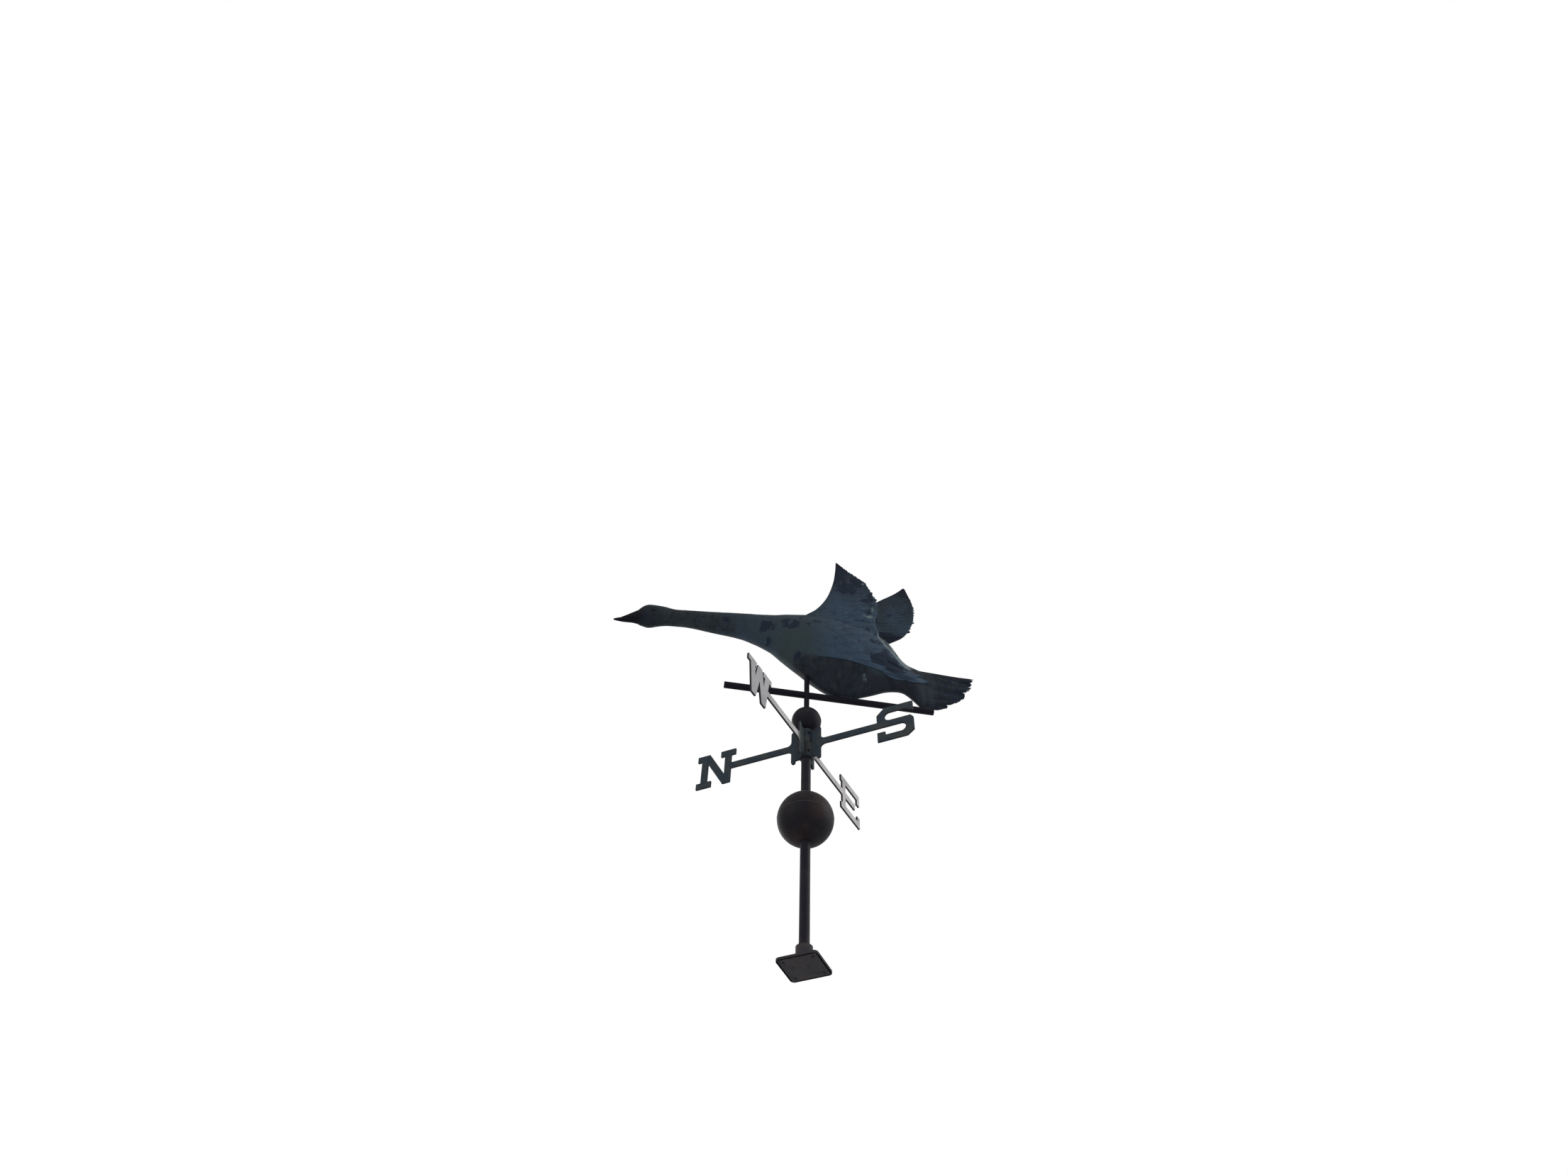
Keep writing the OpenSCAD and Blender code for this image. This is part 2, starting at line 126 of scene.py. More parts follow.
def feed(tree, value, slot):
    """Puts a number, a vector or a wire into a socket."""
    if isinstance(value, Wire):
        tree.links.new(value.socket, slot)
    else:
        slot.default_value = value


def add(tree, kind, *given, **named):
    """Adds a node and returns a wire from its first output. Values without a name go to its
    inputs in order, capitalised names are inputs too, and the other names are settings."""
    node = tree.nodes.new(kind)
    inputs = {key.replace("_", " "): named.pop(key) for key in list(named) if key[0].isupper()}
    for key, value in named.items():
        setattr(node, key, value)
    for slot, value in zip(node.inputs, given):
        feed(tree, value, slot)
    for name, value in inputs.items():
        feed(tree, value, next(s for s in node.inputs if s.name == name and s.enabled))
    return Wire(tree, node.outputs[0] if node.outputs else None)


# %% [markdown]
# ## The finishes
# Old sheet copper in the weather goes brown-black first, then slate, then grey-green. The
# crust grows in clouds, rain carries it off in vertical runs, and it stays pale where water
# stands: on feather tips and on raised edges. The recipe stacks these as layers. Each layer
# is a noise on Object coordinates, so that it stays put when the goose turns. Marks such as
# `low` and `pale` are attributes that the mesh code sets where a layer is strong. Some marks
# paint light and shade into the colour: `lit` is painted light, `low` and `root` hold
# painted shade beside darker crust, and `pale` holds painted highlights beside pale crust.

# %% A recipe for weathered metal
DULL = 0.12  # specular level of a weathered crust


def linear(red, green, blue):
    """A colour given as 0-255 values of a screen, as the shader wants it."""
    return tuple(((c / 255 + 0.055) / 1.055) ** 2.4 if c > 10 else c / 255 / 12.92
                 for c in (red, green, blue)) + (1.0,)


class Finish:
    """A material under construction: a Principled shader and layers of colour over it."""

    def __init__(self, name, ground, roughness, metallic=0.0):
        self.material = bpy.data.materials.new(name)
        self.material.use_nodes = True
        self.tree = self.material.node_tree
        self.shader = self.tree.nodes["Principled BSDF"].inputs
        self.shader["Metallic"].default_value = metallic
        self.shader["Specular IOR Level"].default_value = DULL
        self.add = partial(add, self.tree)
        self.place = self.add("ShaderNodeTexCoord")["Object"]
        self.colour, self.roughness = linear(*ground), roughness

    def cloud(self, scale, detail=5, rough=0.55, upright=1.0, shift=0.0, bend=0.0):
        """Noise from 0 to 1; upright under 1 makes streaks, shift picks another part of it."""
        where = self.add("ShaderNodeVectorMath", self.place, (1, 1, upright),
                         operation="MULTIPLY")
        return self.add("ShaderNodeTexNoise", noise_dimensions="4D", Vector=where, W=shift,
                        Scale=scale, Detail=detail, Roughness=rough, Distortion=bend)["Fac"]

    def mark(self, name):
        return self.add("ShaderNodeAttribute", attribute_name=name)["Fac"]

    def lay(self, colour, amount):
        """Lays a colour over what is there, by an amount between 0 and 1."""
        self.colour = self.add("ShaderNodeMix", amount, data_type="RGBA", A=self.colour,
                               B=linear(*colour))[2]

    def done(self, strength, distance, unevenness, *heights):
        """Wires up the shader; unevenness varies the roughness, heights make the bump."""
        bump = self.add("ShaderNodeBump", Strength=strength, Distance=distance,
                        Height=sum(heights))
        for name, value in (("Base Color", self.colour), ("Normal", bump),
                            ("Roughness", unevenness + self.roughness)):
            feed(self.tree, value, self.shader[name])
        print("finish", self.material.name, len(self.tree.nodes), "nodes")
        return self.material


# %% [markdown]
# The goose has the richest surface: slate and grey-green clouds, navy blotches where the
# crust has come off, dark runs down the belly, and a pale bloom on raised edges, some of it
# a painted highlight. Painted light lies on the wings, and painted shade lies on the belly
# and in the creases between feathers. Body, wings and tail share one recipe, so that only
# their marks differ where they meet.

# %% Goose copper
def goose_copper(name, feather_shade_and_bloom):
    f = Finish(name, (42, 53, 60), 0.62)
    f.lay((44, 54, 53), f.cloud(6, 4, 0.5, shift=2.0).step(0.42, 0.62) * 0.8)
    f.lay((49, 64, 80), f.mark("lit") * 0.85)
    f.lay((54, 70, 90), f.cloud(9, 5, 0.6, shift=5.0).step(0.50, 0.70) * 0.45)
    f.lay((70, 86, 94), f.cloud(30, 6, 0.65, shift=1.0).step(0.58, 0.76) * 0.5)
    f.lay((29, 38, 46), f.cloud(48, 6, 0.7, 2.2, 21.0).step(0.56, 0.68) * 0.6)
    # low: partly darker crust, partly painted shade on the belly under the wing's edge and on the
    # far wing
    low = f.mark("low")
    patches = f.cloud(14, 4, 0.6, 0.35, 3.0).step(0.1, 0.55)
    f.lay((27, 31, 38), low * (patches * 0.5 + 0.45))
    runs = f.cloud(70, 3, 0.6, 0.09, 7.0).step(0.46, 0.66)
    f.lay((16, 18, 23), runs * (low * 0.65 + 0.08))
    f.lay((46, 45, 47), low * f.cloud(46, 3, 0.6, 0.12, 17.0).step(0.54, 0.70) * 0.6)
    blots = f.cloud(26, 6, 0.66, shift=4.0, bend=0.6)
    f.lay((19, 28, 42), (blots * 1.7 + f.mark("dark") * 0.42).step(1.02, 1.16) * 0.88)
    f.lay((15, 18, 22), f.cloud(110, 4, 0.6, shift=8.0).step(0.66, 0.74) * 0.6)
    # partly grime, partly painted shade in the creases at the roots and sides of the feathers
    f.lay((17, 23, 30), f.mark("root") * feather_shade_and_bloom * 1.5)
    flakes = f.cloud(60, 4, 0.6, shift=9.0).step(0.40, 0.70)
    f.lay((62, 78, 92), f.mark("tip") * flakes * feather_shade_and_bloom)
    # pale crust, and painted highlights where the mesh code puts them into the pale mark
    bloom_and_highlight = (f.mark("pale") * 0.6 + f.cloud(75, 5, 0.65, shift=15.0)).step(0.74, 1.06)
    f.lay((94, 105, 108), bloom_and_highlight)
    f.lay((140, 146, 134), bloom_and_highlight * f.cloud(60, 5, 0.6, shift=16.0).step(0.48, 0.72) * 0.55)
    f.lay((60, 35, 34), f.mark("rust") * 0.5)
    # near black on the head and the tops of the wings, and painted shade low on the far wing
    f.lay((8, 9, 17), f.mark("near_black_and_shade") * 0.85)
    return f.done(0.45, 0.0025, f.cloud(45, 4, 0.6, shift=14.0) * 0.3,
                  f.cloud(30, 4, 0.6, shift=11.0) * 0.8, f.cloud(160, 5, 0.65, shift=12.0) * 0.35,
                  f.cloud(520, 3, 0.6, shift=13.0) * 0.12)


GOOSE_COPPER = goose_copper("goose_copper", 0.0)
WING_COPPER = goose_copper("wing_copper", 0.5)

# %% [markdown]
# The globes and the tubes are brown-black oxide with a few rusty clouds and drip marks.
# The bar, the rod and the flange are dark steel. They share a second recipe.

# %% Dark finishes
def dark_metal(name, ground, warm, roughness=0.5, metallic=0.0):
    f = Finish(name, ground, roughness, metallic)
    f.lay(warm, f.cloud(16, 5, 0.6, shift=2.0).step(0.45, 0.7) * 0.7)
    f.lay((40, 44, 50), f.cloud(34, 6, 0.65, shift=3.0).step(0.58, 0.74) * 0.35)
    f.lay((6, 6, 9), f.cloud(60, 3, 0.6, 0.08, 5.0).step(0.52, 0.7) * 0.6)
    f.lay((74, 62, 54), f.cloud(180, 4, 0.6, shift=6.0).step(0.66, 0.74) * 0.4)
    f.lay((120, 124, 120), f.mark("pale") * f.cloud(90, 4, 0.6, shift=9.0).step(0.35, 0.6))
    return f.done(0.35, 0.0015, f.cloud(50, 4, 0.6, shift=9.0) * 0.25,
                  f.cloud(40, 4, 0.6, shift=7.0) * 0.6, f.cloud(260, 4, 0.65, shift=8.0) * 0.3)


GLOBE_COPPER = dark_metal("globe_copper", (17, 14, 20), (40, 29, 27))
SMALL_GLOBE_COPPER = dark_metal("small_globe_copper", (14, 12, 20), (26, 21, 25))
MAST_COPPER = dark_metal("mast_copper", (16, 15, 25), (32, 28, 31))
DARK_STEEL = dark_metal("dark_steel", (10, 9, 20), (22, 16, 21), 0.6)
# the flange steel is a lighter copy of the dark steel, as painted light for its shaded underside
FLANGE_STEEL_PAINTED_LIGHT = dark_metal("flange_steel_painted_light", (50, 48, 52), (64, 54, 50), 0.6)
EYE_BRONZE = dark_metal("eye_bronze", (16, 16, 20), (34, 32, 30), 0.25, 0.5)

# %% [markdown]
# The letters are cast bronze. Their broad faces keep a grey-green crust, and their narrow
# sides are browner, so the recipe reads how a face is turned. On the casting for east and
# west, the side that faces south gets painted sunlight, a pale buff, but not at the hub.

# %% Letter finishes
def cast_bronze(name, face, side, across, sunny=None):
    f = Finish(name, face, 0.66)
    facing = f.add("ShaderNodeSeparateXYZ", f.add("ShaderNodeNewGeometry")["Normal"])[across]
    f.lay((58, 62, 57), f.cloud(24, 6, 0.6, shift=1.0).step(0.42, 0.64) * 0.75)
    f.lay(side, (1 - facing.math("ABSOLUTE").step(0.4, 0.9)) * 0.8)
    if sunny:
        # painted sunlight on the south faces, away from the hub, with clouds and drips in it
        east = f.add("ShaderNodeSeparateXYZ", f.place)
        painted_sun = (facing * -1).step(0.2, 0.8) * east.math("ABSOLUTE").step(0.034, 0.06)
        f.lay(sunny, painted_sun * (f.cloud(40, 5, 0.6, shift=8.0).step(0.25, 0.5) * 0.25 + 0.72))
        f.lay((112, 110, 108), painted_sun * f.cloud(13, 6, 0.65, shift=9.0).step(0.44, 0.66) * 0.45)
        drips = f.cloud(46, 5, 0.7, 0.3, 10.0).step(0.56, 0.68)
        f.lay((70, 66, 62), painted_sun * drips * 0.5)
        f.lay((128, 130, 134), painted_sun * (east * -1).step(0.10, 0.26) * 0.6)
    f.lay((30, 28, 28), f.cloud(60, 5, 0.65, shift=2.0).step(0.62, 0.74) * 0.6)
    f.lay((140, 142, 132), f.cloud(90, 5, 0.65, shift=3.0).step(0.66, 0.76) * 0.35)
    return f.done(0.4, 0.001, f.cloud(60, 4, shift=6.0) * 0.2,
                  f.cloud(120, 5, 0.65, shift=4.0) * 0.6, f.cloud(500, 3, 0.6, shift=5.0) * 0.2)


LETTER_BRONZE = cast_bronze("letter_bronze", (41, 50, 58), (27, 26, 30), 0)
# the east-west casting: the same crust as the letters, with painted sunlight on its south faces
PALE_BRONZE = cast_bronze("pale_bronze", (42, 49, 56), (33, 33, 36), 1, (182, 178, 176))

# %% [markdown]
# ## The goose's form
# The coppersmith's pattern is a row of cross sections: how high, how low and how wide the
# bird is at each station, and how keeled its belly is. These are the stations of the CAD
# source, in millimetres from the spindle and above the bar, with smooth curves between.

# %% Stations of the body
INSIDE = 0.00002  # keeps the rounded keel inside the CAD box
KEEL_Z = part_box("vane_bar")[1].z - INSIDE
HEADING = math.radians(122.5)
SECTIONS = np.array([
    [-313, 140, 0.3, 15, 2.4], [-268, 160, 50, 27, 2], [-224, 222, 50, 47, 1.8],
    [-164, 259, 21, 66, 1.6], [-110, 274, 0.3, 76, 1.5], [-60, 281, 10, 77, 1.5],
    [-31, 284, 29, 73, 1.6], [4, 284, 64, 69, 1.8], [64, 276, 120, 57, 2],
    [103, 268, 153, 47, 2], [178, 262, 184, 36, 2], [257, 254, 193, 30, 2],
    [326, 248, 199, 25, 2], [376, 244, 197, 24, 2], [405, 250, 190, 25, 2],
    [440, 250, 178, 29, 2], [457, 245, 179, 25, 2], [475, 226, 183, 17, 2],
    [490, 213, 183, 13, 2], [514, 195, 180, 7, 2], [536, 185, 181, 2, 2]])
TAIL_ROOT, BILL_POINT = -313, 535.9


def along(rows, x, k):
    """Smooth curve through column k of a table, at the places x of its first column."""
    rows, x = np.asarray(rows, float), np.asarray(x, float)
    i = np.clip(np.searchsorted(rows[:, 0], x, side="right") - 1, 0, len(rows) - 2)
    slope = np.gradient(rows[:, k])
    slope[1:-1] = (rows[2:, k] - rows[:-2, k]) / (rows[2:, 0] - rows[:-2, 0])
    slope[0] = (rows[1, k] - rows[0, k]) / (rows[1, 0] - rows[0, 0])
    slope[-1] = (rows[-1, k] - rows[-2, k]) / (rows[-1, 0] - rows[-2, 0])
    span = rows[i + 1, 0] - rows[i, 0]
    t = (x - rows[i, 0]) / span
    return ((2 * t**3 - 3 * t**2 + 1) * rows[i, k] + (t**3 - 2 * t**2 + t) * span * slope[i]
            + (3 * t**2 - 2 * t**3) * rows[i + 1, k] + (t**3 - t**2) * span * slope[i + 1])


def ease(t, start=0.0, length=1.0):
    """0 up to the start, 1 from a length further on, smooth between."""
    s = np.clip((t - start) / length, 0, 1)
    return s * s * (3 - 2 * s)


def bell(t, middle=0.0, width=1.0):
    """1 in the middle, falling to nearly 0 at twice the width on both sides."""
    s = (t - middle) / width
    return np.exp(-s * s)


def to_row(points):
    """Goose millimetres (forward, left, up from the bar) to metres in the row frame."""
    p = np.asarray(points, float) * MM
    c, s = math.cos(HEADING), math.sin(HEADING)
    return np.stack([c * p[..., 0] - s * p[..., 1], s * p[..., 0] + c * p[..., 1],
                     p[..., 2] + KEEL_Z], -1)


def flank(x, z):
    """Half width of the body at a point of its side, 0 above and below it."""
    top, bottom = along(SECTIONS, x, 1), along(SECTIONS, x, 2)
    r = (2 * z - top - bottom) / (top - bottom)
    n = np.where(r > 0, 2.0, along(SECTIONS, x, 4))
    inside = np.clip(1 - np.abs(np.clip(r, -1, 1)) ** n, 0, 1)
    return np.where(np.abs(r) >= 1, 0, along(SECTIONS, x, 3) * inside ** (1 / n))


# %% Mesh helpers
def spans(rows, cols):
    """Places between 0 and 1 down the rows and across the columns of a grid."""
    return np.linspace(0, 1, rows)[:, None], np.linspace(0, 1, cols)[None, :]


def ripple(x, y, z, size, seed=0.0):
    """Soft random wave between about -1 and 1, with bumps of the given size."""
    p = np.stack(np.broadcast_arrays(np.asarray(x, float), y, z), -1) / size + seed
    flat = p.reshape(-1, 3)
    return np.array([noise.noise(Vector(q)) for q in flat]).reshape(p.shape[:-1])


def put_marks(mesh, marks):
    """Stores the marks, one float for each point."""
    for key, values in marks.items():
        layer = mesh.attributes.new(key, "FLOAT", "POINT")
        layer.data.foreach_set("value", np.asarray(values, np.float32).ravel())


def new_mesh(name, points, faces):
    mesh = bpy.data.meshes.new(name)
    mesh.from_pydata(np.asarray(points).reshape(-1, 3).tolist(), [], faces)
    mesh.shade_smooth()
    return mesh


def grid_faces(rows, cols, closed=False, start=0, flip=False):
    """Quads over a grid of points; closed joins the last column to the first."""
    quads = []
    for i in range(rows - 1):
        for k in range(cols if closed else cols - 1):
            a, b = start + i * cols + k, start + i * cols + (k + 1) % cols
            quads.append((a + cols, b + cols, b, a) if flip else (a, b, b + cols, a + cols))
    return quads


def shell_faces(rows, cols):
    """Faces of a closed shell: two grids of points and the rim that joins them."""
    count = rows * cols
    rim = [(i * cols + k, cols) for i in range(rows - 1) for k in (0, cols - 1)]
    rim += [(i * cols + k, 1) for i in (0, rows - 1) for k in range(cols - 1)]
    return (grid_faces(rows, cols) + grid_faces(rows, cols, start=count, flip=True)
            + [(a, a + next_, a + next_ + count, a + count) for a, next_ in rim])


def face_outwards(piece):
    """Merges doubles and turns all faces of a closed piece outwards."""
    bm = bmesh.new()
    bm.from_mesh(piece.data)
    bmesh.ops.remove_doubles(bm, verts=bm.verts, dist=1e-6)
    bmesh.ops.recalc_face_normals(bm, faces=bm.faces)
    bm.to_mesh(piece.data)
    bm.free()
    return piece


def new_piece(name, points, faces, material, marks={}):
    """Makes a closed mesh object from points in metres, with its marks."""
    mesh = new_mesh(name, points, faces)
    put_marks(mesh, marks)
    mesh.materials.append(material)
    mesh.validate()
    return face_outwards(link(name, mesh))


def report(piece):
    tris = sum(len(p.vertices) - 2 for p in piece.data.polygons)
    print("made", piece.name, tris, "triangles")
    return piece


# %% [markdown]
# ### The body skin
# On the real bird two beaten halves are soldered along the back and the belly. Here one
# closed skin is swept through the stations and then worked like the metal, with shallow
# hammer dents, a mouth, a step at the bill, a brow and a proud solder line on the seam.

# %% Body skin
RINGS, AROUND = 430, 144
SOFT_EDGE = math.radians(55)
station = np.linspace(TAIL_ROOT, BILL_POINT, RINGS)[:, None]
angle = np.linspace(0, 2 * np.pi, AROUND, endpoint=False)[None, :]
side = np.where(angle <= np.pi, 1.0, -1.0)
turn = np.where(angle <= np.pi, angle, 2 * np.pi - angle)
top, bottom = along(SECTIONS, station, 1), along(SECTIONS, station, 2)
width, keel = along(SECTIONS, station, 3), along(SECTIONS, station, 4)
power = np.where(turn < np.pi / 2, 2.0, keel)
rise = np.sign(np.cos(turn)) * np.abs(np.cos(turn)) ** (2 / power)
reach = np.abs(np.sin(turn)) ** (2 / power)
skin = np.stack([np.broadcast_to(station, rise.shape), side * width * reach,
                 (top + bottom) / 2 + (top - bottom) / 2 * rise], -1)


def outward(grid):
    """Unit normals of a closed grid of rings."""
    down = np.gradient(grid, axis=0)
    round_ = (np.roll(grid, -1, 1) - np.roll(grid, 1, 1)) / 2
    n = np.cross(round_, down)
    n /= np.maximum(np.linalg.norm(n, axis=-1, keepdims=True), 1e-9)
    middle = grid.mean(1, keepdims=True)
    return n * np.sign(((grid - middle) * n).sum(-1).mean())


x, y, z = skin[..., 0], skin[..., 1], skin[..., 2]
work = 0.5 * ripple(x, y, z, 34, 3.0) + 0.22 * ripple(x, y, z, 13, 9.0)
seam = bell(y / 1.6) * np.where(x < 470, 1.0, 0.3)
work += seam * (1.1 + 0.5 * ripple(x, y, z, 7, 5.0))
mouth_line = 192 - 6 * ease((536 - x) / 70)
work += -1.7 * bell((z - mouth_line) / 1.5) * ease(x, 452, 10) * ease((534 - x) / 6)
work += -0.8 * bell((x - 472 - 0.12 * (z - 205)) / 2.6)
# middle x and z, half sizes and height of what the hammer adds to the head
HEAD_SHAPES = {"step of the bill": (464, 205, 5, 16, 0.8), "eye socket": (432, 213, 9, 7, -1.4),
               "brow": (434, 222, 13, 4, 1.1), "nostril": (497, 202, 3.4, 1.8, -0.9)}
for cx, cz, rx, rz, height in HEAD_SHAPES.values():
    work += height * bell(x, cx, rx) * bell(z, cz, rz)
work *= np.clip(width / 8, 0.15, 1)
skin = skin + outward(skin) * work[..., None]

# %% [markdown]
# Marks for the finish: the belly and the head are dark, the belly partly with painted shade,
# some blotches stand at the base of the neck and on the shoulder, and a painted highlight
# lies along the top of the rump.

# %% Marks on the body skin
def blotch(x, z, spots):
    """The strongest of some soft ovals: middle x and z, half sizes, strength."""
    mark = np.zeros(np.broadcast(x, z).shape)
    for cx, cz, rx, rz, strength in spots:
        oval = bell(((x - cx) / rx) ** 2) * bell(((z - cz) / rz) ** 2)
        mark = np.maximum(mark, strength * oval)
    return mark


BODY_BLOTCHES = [(56, 197, 25, 22, 0.9), (121, 198, 18, 17, 0.9), (100, 190, 9, 14, 0.7),
                 (21, 228, 13, 9, 1.0), (233, 212, 9, 8, 0.9), (33, 106, 9, 8, 0.7),
                 (118, 153, 14, 18, 0.7), (300, 222, 12, 12, 0.5), (-230, 200, 20, 18, 0.8)]
# pale spots on the belly, and a painted highlight on the crown of the head (the last one)
BODY_PALES = [(-150, 48, 8, 15, 1.0), (-118, 44, 9, 6, 0.8), (-104, 8, 9, 5, 0.9),
              (438, 232, 12, 5, 1.0)]
# the belly is dark below the lower edge of the wing, partly darker crust and partly painted shade
# under that edge; the rump, neck and head are dark too
wing_line = np.interp(x, [-320, -230, -180, -130, -80, -30, 40, 90, 160],
                      [60, 76, 72, 84, 96, 94, 98, 78, 40])
low = np.maximum.reduce([
    ease((wing_line + 10 + 7 * ripple(x, y, z, 30, 2.0) - z) / 22) * ease((122 - x) / 70),
    0.9 * ease((-196 - x) / 50) * ease((190 - z) / 60), 0.9 * ease(x, 385, 55),
    ease(x, 130, 150) * (0.62 + 0.25 * ripple(x, y, z, 40, 6.0))])
dark = blotch(x, z, BODY_BLOTCHES) + ease(x, 400, 60) * 0.5 + 0.2 * ease((-250 - x) / 60)
down = (top - z) / (top - bottom)
# a painted highlight along the top of the rump
pale = 0.95 * bell(x, -252, 58) * ease((0.60 - down) / 0.3)
pale = pale * (0.85 + 0.4 * ripple(x, y, z, 22, 8.0)) + 0.5 * blotch(x, z, BODY_PALES)
points = np.concatenate([skin.reshape(-1, 3), [skin[0].mean(0)], [skin[-1].mean(0)]])
faces = grid_faces(RINGS, AROUND, True)
back_hub, front_hub = len(points) - 2, len(points) - 1
faces += [(back_hub, (k + 1) % AROUND, k) for k in range(AROUND)]
first = (RINGS - 1) * AROUND
faces += [(front_hub, first + k, first + (k + 1) % AROUND) for k in range(AROUND)]
# the head darkens to near black towards the bill
near_black_and_shade = 0.9 * ease(x, 446, 34) + 0.35 * ease(x, 392, 20)
body_marks = {"low": low, "dark": dark, "pale": pale, "near_black_and_shade": near_black_and_shade}
body_skin = new_piece("goose_body_skin", to_row(points), faces, GOOSE_COPPER,
                      {key: np.append(mark, [0, 0]) for key, mark in body_marks.items()})
body_skin.data.set_sharp_from_angle(angle=SOFT_EDGE)
report(body_skin)
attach(body_skin, "vane")
for part in ("head", "neck", "body"):
    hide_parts(f"goose_{part}_left", f"goose_{part}_right")

# %% [markdown]
# ### The tail fan
# The tail is two thin sheets that meet along a ragged end. It starts exactly on the last
# ring of the body skin, so the two read as one piece of copper. Six feathers radiate from
# the rump. Each has a raised quill, overlaps the next one with a small step, and ends with
# its own curl and notches, bent and torn by wind and birds.

# %% Tail fan
TAIL_END = np.array([[0, -468, 134], [0.35, -456, 96], [0.62, -432, 56], [0.85, -389, 18],
                     [1, -346, 0.3]])
TAIL_FEATHERS, TAIL_ROWS, TAIL_COLS, NOTCHES = 6, 111, 145, 43
dice = np.random.default_rng(7)
curl = dice.uniform(2.5, 6.0, TAIL_FEATHERS) * np.array([1, -1, 1, -1, 1, -1])
notches = dice.uniform(0, 1, NOTCHES)
jag = np.interp(np.linspace(0, NOTCHES - 1, TAIL_COLS), np.arange(NOTCHES), notches)
along_tail, drop = spans(TAIL_ROWS, TAIL_COLS)
lane = drop * TAIL_FEATHERS
feather = np.clip(lane.astype(int), 0, TAIL_FEATHERS - 1)
lane_part = lane - feather
ring_turn = np.linspace(0, np.pi, AROUND // 2 + 1)
half_ring = skin[0][:AROUND // 2 + 1]
root = np.stack([np.interp(drop[0] * np.pi, ring_turn, half_ring[:, k]) for k in range(3)], -1)
end_x = along(TAIL_END, drop, 1) + 8 * lane_part**3 + 7 * ease((jag[None, :] - 0.35) / 0.4)
end_z = along(TAIL_END, drop, 2)
tail_x = root[:, 0] + (end_x - root[:, 0]) * along_tail
tail_z = root[:, 2] + (end_z - root[:, 2]) * along_tail
taper = 1 - (1 - along_tail) ** 2.2
half = np.abs(root[:, 1]) * (1 - taper) + (1.1 * np.sin(np.pi * drop) ** 0.5 + 0.25) * taper
worked = ease(along_tail / 0.35) * np.sin(np.pi * drop) ** 0.3
relief = 1.1 * bell(lane_part, 0.5, 0.09) + 1.6 * (0.5 - lane_part)
relief = relief - 1.2 * bell(lane_part, 1, 0.06)
barbs = 0.25 * np.sin((along_tail * 40 + np.abs(lane_part - 0.5) * 9) * 2 * np.pi)
barbs = barbs * ease(along_tail, 0.2, 0.3)
tail_wave = lambda size, seed: ripple(tail_x, 0, tail_z, size, seed)
dents = 0.7 * tail_wave(26, 2.0) + 0.4 * tail_wave(9, 6.0)
lean = curl[feather] * ease(along_tail, 0.55, 0.45) ** 1.5
lean = lean * (0.4 + 0.6 * np.sin(np.pi * lane_part)) + 1.4 * tail_wave(34, 4.0) * along_tail**2
swell = np.maximum((relief + barbs + dents) * worked, -0.7 * half)
tail_points = [np.stack([tail_x, sign * (half + swell) + lean, tail_z], -1) for sign in (1, -1)]

torn = ease(along_tail, 0.93, 0.07) * (tail_wave(8, 4.0) > 0.1)
quill_shade = bell(lane_part, 0.4, 0.2) * ease(along_tail * 3 - 0.3)
# the root mark here is painted shade in the creases where one tail feather steps under the next
edge = np.maximum(bell(lane_part, 0.98, 0.10), bell(lane_part / 0.06))
tail_marks = {"pale": torn * bell(tail_z, 84, 44),
              "root": edge * ease((along_tail - 0.1) * 2),
              "low": 0.9 + 0.1 * ease(along_tail * 2) - 0.3 * quill_shade,
              "dark": 0.2 + 0.6 * ease(along_tail, 0.3, 0.7),
              "tip": 0.4 * bell(lane_part, 0.5, 0.12) * ease(along_tail, 0.3, 0.5),
              "rust": bell(drop, 0.07, 0.025) * ease(along_tail, 0.5, 0.2)}
tail_fan = new_piece("goose_tail_fan", to_row(tail_points), shell_faces(TAIL_ROWS, TAIL_COLS),
                     WING_COPPER, {key: np.broadcast_to(mark, (2, TAIL_ROWS, TAIL_COLS))
                                   for key, mark in tail_marks.items()})
tail_fan.data.set_sharp_from_angle(angle=SOFT_EDGE)
report(tail_fan)
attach(tail_fan, "vane")
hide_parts("goose_tail_left", "goose_tail_right")

# %% [markdown]
# ### Solder at the bar
# The goose touches its bar at two places, the keel of the belly and the low corner of the
# tail. A coppersmith floods such a joint with solder, which sets as a soft lumpy fillet:
# here a ball that is stretched along the bar and dented a little.

# %% Solder pads
PADS = ((-110, 26, 6.5, 6.0, 3.0), (-326, 13, 4.6, 6.0, 8.0))
PAD_RINGS, PAD_AROUND = 25, 40
tilt = np.linspace(0, np.pi, PAD_RINGS)[:, None]
spin = np.linspace(0, 2 * np.pi, PAD_AROUND, endpoint=False)[None, :]
pad_points, pad_faces = [], []
for middle, long_half, wide, high, seed in PADS:
    px = middle + long_half * np.cos(tilt) + 0 * spin
    py = wide * np.sin(tilt) ** 0.8 * np.cos(spin)
    pz = high * np.sin(tilt) ** 0.8 * np.sin(spin)
    pz = np.where(pz > 0, pz, pz * 0.5) - 1.5
    lump = 1 + 0.16 * ripple(px, py, pz, 9, seed)
    pad_faces += grid_faces(PAD_RINGS, PAD_AROUND, True, start=len(pad_points))
    pad_points += list(np.stack([px, py * lump, pz * lump], -1).reshape(-1, 3))
solder = new_piece("solder_pads", to_row(pad_points), pad_faces, GOOSE_COPPER,
                   {"low": np.full(len(pad_points), 0.7)})
report(solder)
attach(solder, "vane")

# %% [markdown]
# ## The wings
# Each wing is one sheet: its lower part lies on the flank, and its upper part stands free.
# The feathers repeat by the hundred and follow the sheet, so they are a job for Geometry
# Nodes. They are laid out flat on a square pattern, row behind row, and then the whole
# pattern is wrapped on the sheet. First comes the sheet, with the outlines of the CAD wings.

